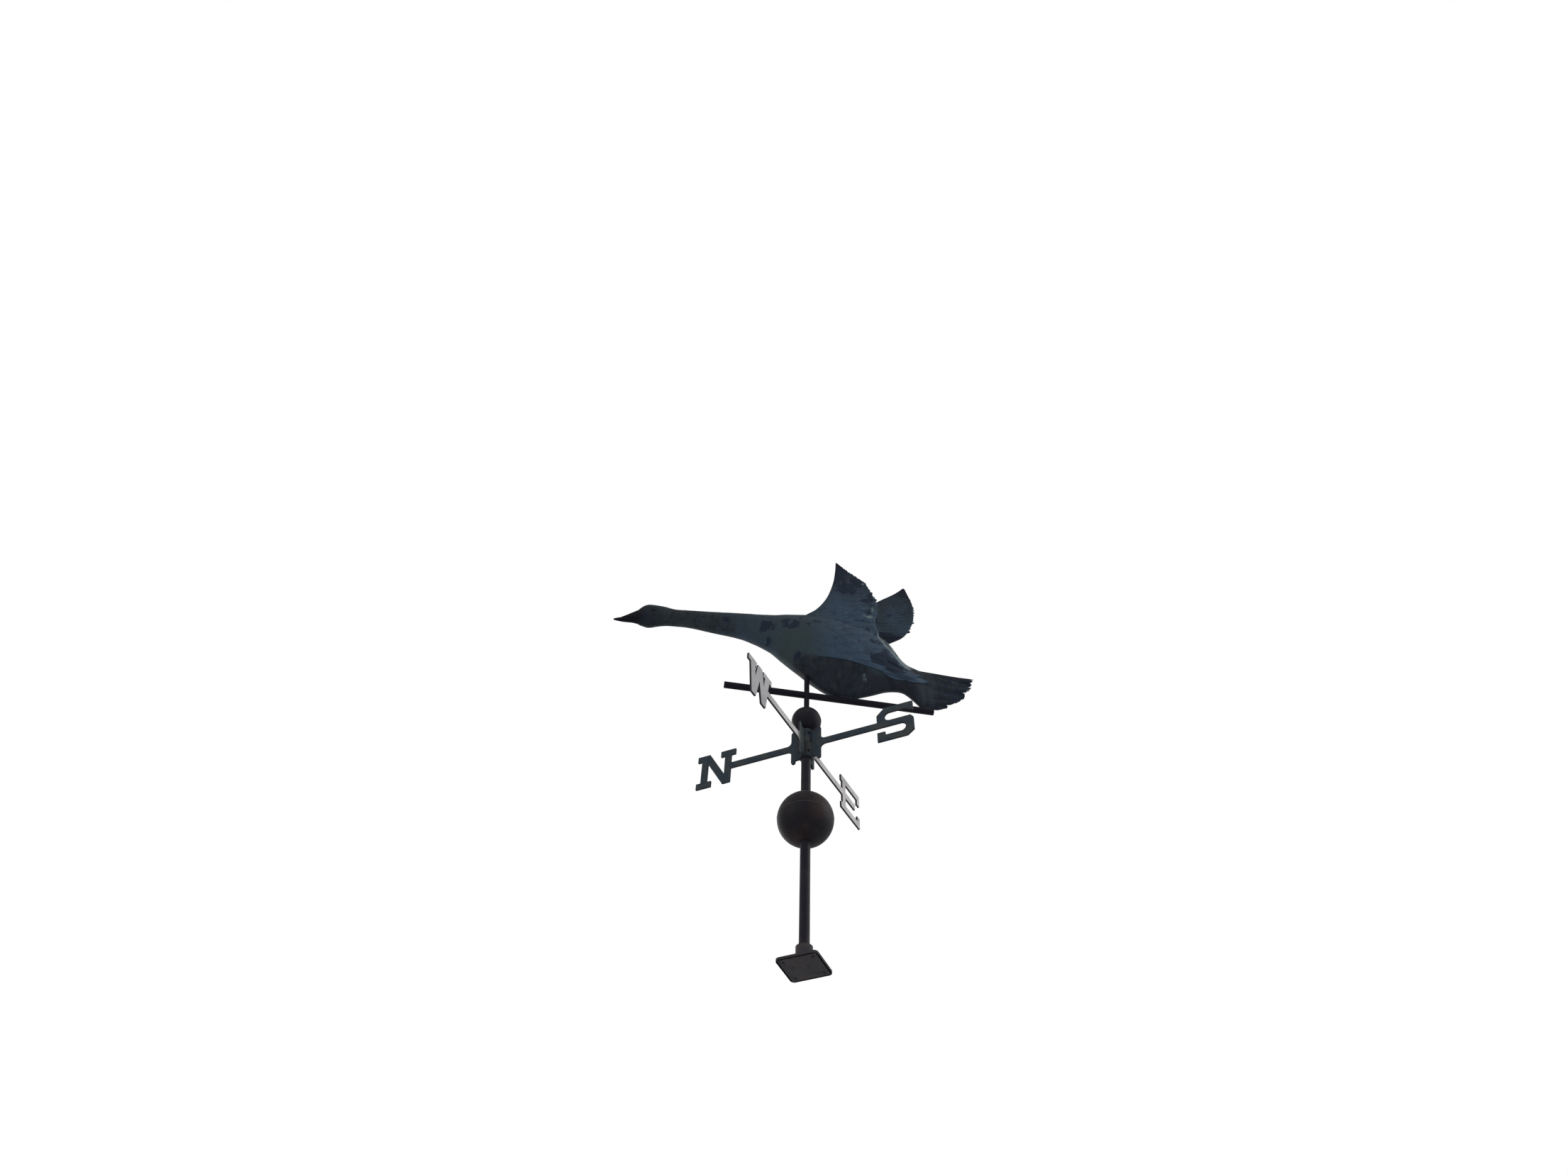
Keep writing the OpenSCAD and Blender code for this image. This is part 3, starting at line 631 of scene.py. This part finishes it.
# %% Outline of the wings
FOOT_FRONT = [[0, 38, 121], [0.12, 38, 175]]
FOOT_BACK = [[0, -298, 80], [0.06, -300, 98], [0.13, -258, 138], [0.24, -216, 180]]
LEFT_FRONT = FOOT_FRONT + [[0.28, 22, 234], [0.42, -17, 277], [0.56, -45, 329],
                           [0.72, -63, 393], [0.86, -70, 443], [1, -73, 492]]
LEFT_BACK = FOOT_BACK + [[0.34, -191, 245], [0.46, -196, 292], [0.58, -194, 340],
                         [0.68, -180, 377], [0.8, -158, 420], [0.92, -114, 454], [1, -79, 486]]
RIGHT_FRONT = FOOT_FRONT + [[0.25, 22, 234], [0.42, -46, 298], [0.6, -130, 392],
                            [0.8, -231, 482], [0.92, -281, 526], [1, -307, 556]]
RIGHT_BACK = FOOT_BACK + [[0.32, -206, 246], [0.42, -251, 291], [0.54, -300, 330],
                          [0.66, -327, 382], [0.78, -335, 425], [0.9, -333, 480],
                          [1, -312, 549]]
WING_SAG = [[0, 0], [0.09, 16], [0.23, 24], [0.45, 24], [0.68, 16], [0.92, 6], [1, 0]]
WING_HALF_GAP, WING_LOW_Z, WING_FREE_Z = 56, 150, 230


def wing_sheet(front, back, side, s, t, lift):
    """Points of a wing: s up from the lower edge, t back from the front edge, lift outwards."""
    x, z = (along(front, s, k) + (along(back, s, k) - along(front, s, k)) * t for k in (1, 2))
    z = z - along(WING_SAG, t, 1) * (1 - s) ** 3
    sink = 1.5 * (1 - ease(t / 0.07)) * ease((WING_LOW_Z + 90 - z) / 60)
    sink = sink + 2.2 * (1 - ease(s / 0.07)) * (1 - ease(t, 0.10, 0.28))
    free = WING_HALF_GAP * ease((z - WING_LOW_Z) / (WING_FREE_Z - WING_LOW_Z))
    return np.stack([x, side * (np.maximum(flank(x, z) + 0.5, free) + lift - sink), z], -1)


# %% [markdown]
# ### One tree for all feathers
# The tree starts from a small box with seven by five corners above and below. Its sides
# are drawn in to a rounded tip, its middle is raised to a quill and its end is lifted.
# Copies stand on a grid of points in the flat pattern, shifted by half a feather in every
# other row. Last, each corner moves from the pattern to the sheet, whose place and normal
# are looked up at the corner's pattern coordinates. The marks are stored before the box is
# shaped, because they depend on where a corner is.

# %% Feather tree
FEATHER_INPUTS = {"Rows": 5, "Feathers in a row": 20, "First row": 0.1, "Last row": 0.6,
                  "Low end": 0.0, "High end": 1.0, "Length": 0.2, "Width": 0.05, "Lift": 1.2,
                  "Unevenness": 0.3, "Seed": 1, "Finish": None}
SOCKET_KINDS = {int: "NodeSocketInt", float: "NodeSocketFloat", type(None): "NodeSocketMaterial"}
UNDERSIDE, PATTERN_RIM = 0.35, 0.002


def start_tree(name, geometry_in, table, geometry_out):
    """A new geometry tree with its sockets; returns a way to add nodes, and its inputs."""
    tree = bpy.data.node_groups.new(name, "GeometryNodeTree")
    socket = tree.interface.new_socket
    socket(geometry_in, in_out="INPUT", socket_type="NodeSocketGeometry")
    for label, value in table.items():
        made = socket(label, in_out="INPUT", socket_type=SOCKET_KINDS[type(value)])
        if value is not None:
            made.default_value = value
    socket(geometry_out, in_out="OUTPUT", socket_type="NodeSocketGeometry")
    return partial(add, tree), add(tree, "NodeGroupInput")


def end_tree(node, geometry, finish):
    node("NodeGroupOutput", node("GeometryNodeSetMaterial", Geometry=geometry, Material=finish))
    print(geometry.tree.name, len(geometry.tree.nodes), "nodes")
    return geometry.tree


def store(geometry, name, value):
    return add(geometry.tree, "GeometryNodeStoreNamedAttribute", data_type="FLOAT",
               domain="POINT", Geometry=geometry, Name=name, Value=value)


def moved(geometry, place):
    return add(geometry.tree, "GeometryNodeSetPosition", Geometry=geometry, Position=place)


def xyz(wire):
    parts = add(wire.tree, "ShaderNodeSeparateXYZ", wire)
    return parts, parts[1], parts[2]


def build_feather_tree():
    node, given = start_tree("wrapped_feathers", "Sheet", FEATHER_INPUTS, "Feathers")
    vector = partial(node, "ShaderNodeCombineXYZ")
    position = node("GeometryNodeInputPosition")

    # one feather: x from 0 at the root to 1 at the tip, y across, z is height in millimetres
    block = node("GeometryNodeMeshCube", Vertices_X=7, Vertices_Y=5, Vertices_Z=2)
    px, py, pz = xyz(position)
    share = 1 - (0.5 - px).math("MAXIMUM", 0) ** 1.5
    late = ((share - 0.62) / 0.38).math("MAXIMUM", 0)
    half_width = (1 - late * late).math("MAXIMUM", 0.03) ** 0.5
    across = (py * 2) * (py * 2)
    slim = (0.72 + share * 0.7).math("MINIMUM", 1.0)
    quill = (1 - (py * 7).math("ABSOLUTE")).math("MAXIMUM", 0) * 0.3
    arch = (1 - across * 0.6) * (0.1 + share * 0.9) * (1 - late * late * 0.45) + quill
    is_top = pz.math("GREATER_THAN", 0)
    height = is_top * arch * given["Lift"] - (1 - is_top) * UNDERSIDE
    # root and rim: partly grime, partly painted shade at the root and along the sides of each
    # feather, where it tucks under its neighbours
    rim = across.step(0.6, 1.0) * 0.9
    root = ((1 - share.step(0.3, 0.7)) * 0.35).math("MAXIMUM", rim)
    marked = store(store(block, "tip", share.step(0.7, 1.0) * 0.7), "root", root)
    leaf = moved(marked, vector(share, py * half_width * slim, height))

    # the flat pattern: a grid of points, every other row shifted by half a feather
    rows, in_row, length = given["Rows"], given["Feathers in a row"], given["Length"]
    spots = node("GeometryNodeMeshGrid", Vertices_X=rows, Vertices_Y=in_row)
    gx, gy, _ = xyz(position)
    shift = (((gx + 0.5) * (rows - 1)).math("ROUND").math("MODULO", 2) - 0.5) * 0.5 / in_row
    back = given["First row"] + (gx + 0.5) * (given["Last row"] - given["First row"])
    loose = node("FunctionNodeRandomValue", data_type="FLOAT", Min=-0.5, Max=0.5,
                 Seed=given["Seed"])[1] * given["Unevenness"]
    up_wing = given["Low end"] + (gy + 0.5 + shift) * (given["High end"] - given["Low end"])
    laid = moved(spots, vector(back + loose * length * 0.3, up_wing, 0.0))
    copies = node("GeometryNodeInstanceOnPoints", Points=laid, Instance=leaf,
                  Scale=vector(length * (1 + loose * 0.4), given["Width"], 1 + loose * 0.5),
                  Rotation=vector(0.0, 0.0, loose * 0.10))
    real = node("GeometryNodeRealizeInstances", Geometry=copies)

    # wrap the pattern on the sheet; in front the feathers melt into the metal
    qx, qy, qz = xyz(position)
    for name in ("tip", "root"):
        kept = node("GeometryNodeInputNamedAttribute", data_type="FLOAT", Name=name)
        real = store(real, name, kept * qx.step(0.06, 0.40))
    inside = [q.math("MAXIMUM", PATTERN_RIM).math("MINIMUM", 1 - PATTERN_RIM) for q in (qx, qy)]
    where = vector(*inside, 0.0)
    chart = node("GeometryNodeInputNamedAttribute", data_type="FLOAT_VECTOR", Name="pattern")
    place, normal = (node("GeometryNodeSampleUVSurface", data_type="FLOAT_VECTOR",
                          Mesh=given["Sheet"], Value=field, UV_Map=chart, Sample_UV=where)
                     for field in (position, node("GeometryNodeInputNormal")))
    fade = qx.step(0.02, 0.34)
    height = (qz * fade - (1 - fade) * 0.9) * MM
    lift = node("ShaderNodeVectorMath", normal, operation="SCALE", Scale=height)
    wrapped = moved(real, node("ShaderNodeVectorMath", place, lift, operation="ADD"))
    return end_tree(node, wrapped, given["Finish"])


FEATHER_TREE = build_feather_tree()


# %% Run a tree and keep its mesh
def baked(piece):
    """The mesh of an object with its modifiers applied."""
    depsgraph = bpy.context.evaluated_depsgraph_get()
    return bpy.data.meshes.new_from_object(piece.evaluated_get(depsgraph), depsgraph=depsgraph)


def run_tree(tree, name, start_mesh, values):
    """Runs a geometry tree on a mesh and returns the result as a plain mesh."""
    host = link(name + "_host", start_mesh)
    modifier = host.modifiers.new("tree", "NODES")
    modifier.node_group = tree
    for item in tree.interface.items_tree:
        if item.in_out == "INPUT" and item.name in values:
            modifier[item.identifier] = values[item.name]
    mesh = baked(host)
    bpy.data.objects.remove(host)
    return mesh


def pattern_sheet(name, points, flip):
    """An open sheet with its flat pattern coordinates, for the feathers to be wrapped on."""
    rows, cols = points.shape[:2]
    mesh = new_mesh(name, points, grid_faces(rows, cols, flip=flip))
    corner = np.empty(len(mesh.loops), int)
    mesh.loops.foreach_get("vertex_index", corner)
    uv = np.stack([(corner % cols) / (cols - 1), (corner // cols) / (rows - 1)], -1)
    mesh.uv_layers.new(name="pattern").data.foreach_set("uv", uv.astype(np.float32).ravel())
    return mesh


# %% [markdown]
# ### Making a wing
# The core sheet is a closed thin shell with a rounded bead along its lower edge, where the
# real sheet is turned under and soldered to the flank. On it lie several layers: small
# covert feathers in front, long quills behind, three long shoulder feathers that end on
# the rump, and four loose lobes there. The inner face of the free part gets feathers too,
# as it shows from the side. Feathers of a real wing fan out towards the tip, so the rows of
# the pattern climb towards the trailing edge, most of all at half height.

# %% Loose lobes on the rump
LOBES = [((-200, 79), (-266, 74), 3.2), ((-252, 84), (-334, 90), 11),
         ((-262, 100), (-312, 105), 6), ((-196, 98), (-262, 88), 7)]
LOBE_ROWS, LOBE_COLS = 30, 11
tail_flat = np.stack([tail_x.ravel(), tail_z.ravel()], -1)
tail_width = (half + np.maximum((relief + dents) * worked, -0.7 * half)).ravel()


def side_surface(x, z):
    """Half width of the goose at a point of its side, over body and tail."""
    gap = ((tail_flat[None] - np.stack([x.ravel(), z.ravel()], -1)[:, None]) ** 2).sum(-1)
    near = np.argsort(gap, 1)[:, :6]
    weight = 1 / (np.take_along_axis(gap, near, 1) + 1)
    on_tail = ((tail_width[near] * weight).sum(1) / weight.sum(1)).reshape(x.shape)
    return np.where(x < TAIL_ROOT, on_tail, flank(x, z))


def lobe(start, end, half_width, side):
    """A closed leaf of sheet copper lying on the side of the goose, with its tip lifted."""
    u, v = spans(LOBE_ROWS, LOBE_COLS)
    v = 2 * v - 1
    (x0, z0), (x1, z1) = start, end
    length = math.hypot(x1 - x0, z1 - z0)
    wide = (half_width * np.sin(np.pi * u ** 0.8) ** 0.6 + 0.3) * v
    x = x0 + (x1 - x0) * u - (z1 - z0) / length * wide
    z = z0 + (z1 - z0) * u + (x1 - x0) / length * wide - 2.5 * np.sin(np.pi * u)
    y = side_surface(x, z)
    top = y + (0.6 + 2.2 * u ** 1.5) + 1.1 * np.sqrt(1 - v * v * 0.95) + 0.5 * bell(v / 0.15)
    low = y - 0.4 + 1.6 * u ** 1.5
    points = to_row([np.stack([x, side * face, z], -1) for face in (top, low)])
    mesh = new_mesh("lobe", points, shell_faces(LOBE_ROWS, LOBE_COLS))
    put_marks(mesh, {"tip": np.full(len(mesh.vertices), 1.6)})
    mesh.materials.append(WING_COPPER)
    return mesh


# %% Wings
WING_ROWS, WING_COLS, FAN, CORE_REACH = 220, 72, 0.85, 0.962
LEFT_BLOTCHES = [(-103, 377, 24, 16, 1.2), (-129, 411, 15, 17, 1.2), (-158, 333, 16, 12, 1.1),
                 (-177, 360, 10, 16, 1.1), (-43, 282, 10, 5, 1), (-16, 212, 11, 7, 1),
                 (-148, 250, 18, 6, 1.1), (-182, 168, 15, 10, 1.1), (-176, 104, 16, 14, 1.5),
                 (-206, 110, 26, 20, 1.6), (-238, 98, 20, 12, 1.4), (-200, 142, 15, 16, 1.0),
                 (-167, 292, 7, 9, 1.1), (-84, 440, 12, 26, 1)]
RIGHT_BLOTCHES = LEFT_BLOTCHES[4:12] + [(-225, 300, 60, 40, 1.3), (-330, 330, 30, 30, 1),
                                        (-208, 400, 12, 60, 0.8), (-302, 530, 24, 24, 1)]
LEFT_PALES = [(-176, 304, 7, 15, 1.0), (-162, 272, 19, 9, 0.95), (-149, 302, 8, 6, 0.7),
              (-152, 410, 5, 6, 1.2), (-184, 358, 5, 6, 1.2), (-120, 452, 5, 5, 0.9)]
RIGHT_PALES = [(-334, 440, 5, 26, 1.2), (-330, 380, 6, 14, 1.2), (-333, 500, 5, 14, 1),
               (-318, 350, 6, 8, 1)]


# one layer of feathers each: the tree's inputs in their order, up to the unevenness
QUILLS = (2, 24, 0.50, 0.63, 0.10, 1.0, 0.335, 0.03975, 1.1, 0.25)
COVERTS = (5, 22, 0.05, 0.50, 0.0, 0.94, 0.25, 0.056, 0.75, 0.85)
SHOULDER = (1, 3, 0.62, 0.66, 0.0, 0.10, 0.37, 0.042, 2.2, 0.2)
INNER_QUILLS = (2, 20, 0.34, 0.63, 0.36, 1.0, 0.355, 0.0348, 1.1, 0.25)
INNER_COVERTS = (3, 18, 0.05, 0.30, 0.36, 0.96, 0.25, 0.056, 0.75, 0.85)


def wing(name, front, back, side, blotches, pales, seed):
    s, t = spans(WING_ROWS, WING_COLS)
    thick = 0.3 + 1.7 * ease(t / 0.22) * np.minimum(1, (1 - t) * 12 + 0.25)
    bead = 1.1 * bell(s, 0.003, 0.006) * ease(t, 0.22, 0.4) * ease((0.93 - t) / 0.1)
    wave = 0.6 * ripple(s * 400, t * 260, 0, 40, seed) * ease((s - 0.1) * 4)
    sheet = partial(wing_sheet, front, back, side)
    grids = [sheet(s, t * CORE_REACH, lift) for lift in (thick + bead + wave, wave)]
    core = new_piece(name, to_row(grids), shell_faces(WING_ROWS, WING_COLS), WING_COPPER)

    climb = s + FAN * t * s * (1 - s) * ease(s / 0.4)
    outer = pattern_sheet("outer", to_row(sheet(climb, t, 0.3 + 1.5 * ease(t / 0.22) + wave)),
                          side < 0)
    inner = pattern_sheet("inner", to_row(sheet(climb, t, 0.25 + wave)), side > 0)
    layers = ((outer, QUILLS), (outer, COVERTS), (outer, SHOULDER), (inner, INNER_QUILLS),
              (inner, INNER_COVERTS))
    bm = bmesh.new()
    bm.from_mesh(core.data)
    for i, (base, sizes) in enumerate(layers):
        values = (*sizes, seed + i, WING_COPPER)
        laid = run_tree(FEATHER_TREE, name, base.copy(), dict(zip(FEATHER_INPUTS, values)))
        bm.from_mesh(laid)
        print("  ", name, sizes[0], "rows:", len(laid.polygons), "faces")
    for start, end, half_width in LOBES:
        bm.from_mesh(lobe(start, end, half_width, side))
    bmesh.ops.recalc_face_normals(bm, faces=bm.faces)
    bm.to_mesh(core.data)
    bm.free()
    core.data.shade_smooth()
    mark_wing(core.data, blotches, pales, side)
    report(core)
    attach(core, "vane")
    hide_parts(name.replace("_sheet", ""))


def mark_wing(mesh, blotches, pales, side):
    """Stores where the finish is dark or pale, from the place of each point on the goose, with
    painted light, shade and highlights among the marks.
    """
    co = np.empty(len(mesh.vertices) * 3)
    mesh.vertices.foreach_get("co", co)
    co = co.reshape(-1, 3)
    x = (math.cos(HEADING) * co[:, 0] + math.sin(HEADING) * co[:, 1]) / MM
    z = (co[:, 2] - KEEL_Z) / MM
    high = ease(z, 290, 120) * (1 if side > 0 else 0.2)
    sill = np.interp(x, [-320, -290, -258, -216, -170, -120, -70, -20, 38],
                     [60, 58, 60, 62, 66, 76, 84, 80, 100])
    # a pale lip along the lower edge of the wing, partly worn and partly a painted highlight
    ridge = 0.4 * bell((z - sill - 4) / 4) * ease((-30 - x) / 80)
    # a painted highlight near the back edge of the wing's low part, where it lies on the rump
    _, edge_x, edge_z = np.array(LEFT_BACK[:8]).T
    reach = np.interp(z, [100, 150, 200, 240], [30, 34, 24, 12])
    rump_highlight = ease((reach - x + np.interp(z, edge_z, edge_x)) / (0.55 * reach))
    rump_highlight = rump_highlight * ease(z, 100, 18) * ease((244 - z) / 30)
    shaded = 0.5 * ease((350 - z) / 40) * ease(z, 262, 26) * ease(x, -330, 30)
    lit = ease((34 - x) / 130) * (1 - 0.6 * high)
    low = 0.5 * high + 0.5 * ease(z, 420, 70)
    near_black_and_shade = ease(z, 455, 30)
    if side < 0:
        # the far wing: a painted pool of light in its middle, and its painted shade goes into both
        # dark marks
        lit = np.maximum(0.4 * lit, 1.15 * bell(x, -272, 34) * bell(z, 412, 52))
        low, near_black_and_shade = low + shaded, ease(z, 500, 44) + shaded
    put_marks(mesh, {"dark": blotch(x, z, blotches) + 0.5 * high, "lit": lit, "low": low,
                     "pale": 0.8 * blotch(x, z, pales) + ridge + 1.15 * rump_highlight,
                     "near_black_and_shade": 0.7 * near_black_and_shade})


wing("left_wing_sheet", LEFT_FRONT, LEFT_BACK, 1, LEFT_BLOTCHES, LEFT_PALES, 11)
wing("right_wing_sheet", RIGHT_FRONT, RIGHT_BACK, -1, RIGHT_BLOTCHES, RIGHT_PALES, 41)

# %% [markdown]
# ## Metal parts that stay as the CAD made them
# The bar, the pivot tube, the rod, the tube, the screws and the eyes are plain turned or
# drawn stock. Their CAD meshes are right, so they only get a finish.

# %% Finishes for the CAD nodes
def coat(mesh, finish):
    mesh.materials.clear()
    mesh.materials.append(finish)


NODE_FINISH = {"mast_rod": DARK_STEEL, "mast_tube": MAST_COPPER, "pivot_tube": DARK_STEEL,
               "vane_bar": DARK_STEEL, "set_screws": DARK_STEEL, "goose_eyes": EYE_BRONZE}
for node_name, finish in NODE_FINISH.items():
    coat(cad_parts[node_name].data, finish)
print("finished", ", ".join(NODE_FINISH))

# %% [markdown]
# ## The globes
# A globe is spun: a copper disc is pressed over a form on a lathe. Two such halves lap in
# the middle, and a bore lets the mast through. The tree does what the lathe does: a flat
# grid becomes angle around by place along the profile, which runs up the outside and back
# down the bore, and merging closes both seams. A bead and a groove mark the lap.

# %% Globe tree
GLOBE_INPUTS = {"Around": 97, "Rings": 121, "Radius": 0.068, "Middle height": 0.4,
                "Bore": 0.012, "Lap": 0.0006, "Dents": 0.001, "Seed": 1.0, "Finish": None}
CLOSE = 1e-5  # how near points are merged


def build_globe_tree():
    node, given = start_tree("spun_globe", "Start", GLOBE_INPUTS, "Globe")
    vector = partial(node, "ShaderNodeCombineXYZ")
    radius, bore = given["Radius"], given["Bore"]
    grid = node("GeometryNodeMeshGrid", Vertices_X=given["Around"], Vertices_Y=given["Rings"])
    gx, gy, _ = xyz(node("GeometryNodeInputPosition"))

    # the first 5/6 of the profile is the outside, with its rings closer near the lap, and
    # the rest is the bore
    outside = ((gy + 0.5) * 2.4 - 1).math("MINIMUM", 1.0)
    down_bore = ((gy + 0.5) * 6 - 5).math("MAXIMUM", 0.0)
    spread = outside * 0.3 + outside * outside * outside * 0.7
    slope = (bore / radius).math("ARCCOSINE") * spread
    level, flat_out = slope.math("SINE"), slope.math("COSINE")
    turn = gx * (2 * math.pi)
    east, north = turn.math("COSINE") * flat_out, turn.math("SINE") * flat_out
    dents = node("ShaderNodeTexNoise", noise_dimensions="4D", W=given["Seed"], Scale=1.6,
                 Detail=2.0, Vector=vector(east, north, level))
    above = level * radius / MM
    far = lambda middle, half: (above - middle) / half
    curve = lambda middle, half: (far(middle, half) * far(middle, half) * -1).math("EXPONENT")
    work = given["Lap"] * (curve(1.6, 1.5) - curve(-0.6, 0.6) * 0.8)
    work = (work + given["Dents"] * (dents - 0.5)) * (flat_out - bore / radius).step(0.0, 0.15)
    size = radius + work
    height = level * size * (1 - down_bore * 2) + given["Middle height"]
    turned = moved(store(grid, "pale", curve(2.0, 1.4) * 0.12),
                   vector(east * size, north * size, height))
    closed = node("GeometryNodeMergeByDistance", Geometry=turned, Distance=CLOSE)
    real = node("GeometryNodeRealizeInstances", Geometry=closed)
    return end_tree(node, real, given["Finish"])


GLOBE_TREE = build_globe_tree()

# %% Both globes
LAP, BORE_ROOM, DENTS, ROD_RADIUS = 0.0004, 0.0002, 0.012, 0.008
TUBE_RADIUS = (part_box("mast_tube")[1].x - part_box("mast_tube")[0].x) / 2


def globe(name, bore, finish, seed, around, rings):
    low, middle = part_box(name + "_lower")[0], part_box(name + "_upper")[0].z
    radius = (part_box(name + "_upper")[1].x - low.x) / 2 - LAP
    values = (around, rings, radius, middle, bore + BORE_ROOM, LAP, radius * DENTS, seed, finish)
    mesh = run_tree(GLOBE_TREE, name, bpy.data.meshes.new("start"), dict(zip(GLOBE_INPUTS, values)))
    piece = face_outwards(link(name, mesh))
    mesh.shade_smooth()
    mesh.set_sharp_from_angle(angle=math.radians(50))
    print("   radius", round(radius / MM, 1), "mm, middle at", round(middle / MM, 1))
    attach(piece, "mast")
    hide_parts(name + "_lower", name + "_upper")
    report(piece)


globe("large_globe", TUBE_RADIUS, GLOBE_COPPER, 3.0, 129, 145)
globe("small_globe", ROD_RADIUS, SMALL_GLOBE_COPPER, 8.0, 97, 121)

# %% [markdown]
# ## The castings and the flange
# A casting never has sharp corners: the sand rounds them. A copy of the CAD mesh is merged,
# its flat faces are joined, and a Bevel modifier rounds every edge.

# %% Rounded castings
SAND_ROUNDING = 0.0009


def rounded_casting(node, finish):
    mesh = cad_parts[node].data.copy()
    piece = link(node + "_cast", mesh)
    coat(mesh, finish)
    bm = bmesh.new()
    bm.from_mesh(mesh)
    bmesh.ops.remove_doubles(bm, verts=bm.verts, dist=2e-6)
    bmesh.ops.dissolve_limit(bm, angle_limit=math.radians(1.5), verts=bm.verts, edges=bm.edges)
    bm.to_mesh(mesh)
    bm.free()
    bevel = piece.modifiers.new("sand_rounding", "BEVEL")
    bevel.width, bevel.segments, bevel.limit_method = SAND_ROUNDING, 3, "ANGLE"
    bevel.angle_limit = math.radians(35)
    rounded = baked(piece)
    piece.modifiers.clear()
    piece.data = rounded
    rounded.shade_smooth()
    rounded.set_sharp_from_angle(angle=math.radians(28))
    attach(piece, "mast")
    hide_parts(node)
    report(piece)


rounded_casting("directional_ns", LETTER_BRONZE)
rounded_casting("directional_ew", PALE_BRONZE)
rounded_casting("roof_flange", FLANGE_STEEL_PAINTED_LIGHT)

# %% [markdown]
# ## Stage
# The photo's camera looks up from below the floor, so the floor is clear from below, and
# open under the flange to let light in. Away from the mast it runs out into white for the
# camera, as a studio's paper sweep does. The background is white for the camera and for
# reflections, while a dimmer grey sky and the lamps light the object.

# %% Floor
FLOOR_RADIUS, FLOOR_SIDES, FLOOR_Z, FLANGE_RIM = 6.0, 64, -0.0005, 0.004
flange_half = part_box("roof_flange")[1].x - FLANGE_RIM
turn = 2 * np.pi * np.arange(FLOOR_SIDES) / FLOOR_SIDES
spokes = np.stack([np.cos(turn), np.sin(turn), 0 * turn], -1)
square = spokes / np.abs(spokes).max(1, keepdims=True)
ring = np.stack([FLOOR_RADIUS * spokes, flange_half * square]) + (0, 0, FLOOR_Z)
floor = link("floor", new_mesh("floor", ring, grid_faces(2, FLOOR_SIDES, True)))
floor_material = bpy.data.materials.new("pale_floor")
floor_material.use_nodes = True
tree = floor_material.node_tree
node = partial(add, tree)
shader = tree.nodes["Principled BSDF"]
shader.inputs["Base Color"].default_value = (0.80, 0.80, 0.80, 1)
shader.inputs["Roughness"].default_value = 0.9
underside = node("ShaderNodeNewGeometry")["Backfacing"]
one_sided = node("ShaderNodeMixShader", underside, Wire(tree, shader.outputs[0]),
                 node("ShaderNodeBsdfTransparent"))
reach = node("ShaderNodeVectorMath", node("ShaderNodeTexCoord")["Object"], operation="LENGTH")[1]
away = reach.step(0.9, 3.2) * node("ShaderNodeLightPath")["Is Camera Ray"]
paper = node("ShaderNodeMixShader", away * (1 - underside), one_sided,
             node("ShaderNodeEmission"))
feed(tree, paper, tree.nodes["Material Output"].inputs["Surface"])
floor.data.materials.append(floor_material)
print("floor opening", round(2 * flange_half / MM), "mm")

# %% Sky and lamps
world = bpy.data.worlds.new("studio")
bpy.context.scene.world = world
world.use_nodes = True
tree = world.node_tree
background = tree.nodes["Background"]
background.inputs["Color"].default_value = (0.93, 0.96, 1.0, 1)
background.inputs["Strength"].default_value = 0.62
white = add(tree, "ShaderNodeBackground", (1, 1, 1, 1))
path = add(tree, "ShaderNodeLightPath")
seen = path["Is Camera Ray"].math("MAXIMUM", path["Is Glossy Ray"])
seen = seen.math("MAXIMUM", path["Is Transmission Ray"])
sky = add(tree, "ShaderNodeMixShader", seen, Wire(tree, background.outputs[0]), white)
feed(tree, sky, tree.nodes["World Output"].inputs["Surface"])

LAMPS = [("key", (1.8, -3.6, 2.9), 2.2, 95), ("fill", (-3.4, 1.2, 1.6), 3.0, 30),
         ("below", (-1.6, -2.0, 0.15), 1.6, 7), ("back", (2.3, 3.3, 2.3), 2.8, 52)]
TARGET = Vector((0, 0, 0.8))
for name, place, size, power in LAMPS:
    data = bpy.data.lights.new(name, "AREA")
    data.shape, data.size, data.energy = "DISK", size, power
    lamp = link(name, data)
    lamp.location = place
    lamp.rotation_euler = (TARGET - Vector(place)).to_track_quat("-Z", "Y").to_euler()
    print("lamp", name, power, "W")
bpy.context.scene.view_settings.view_transform = "Standard"
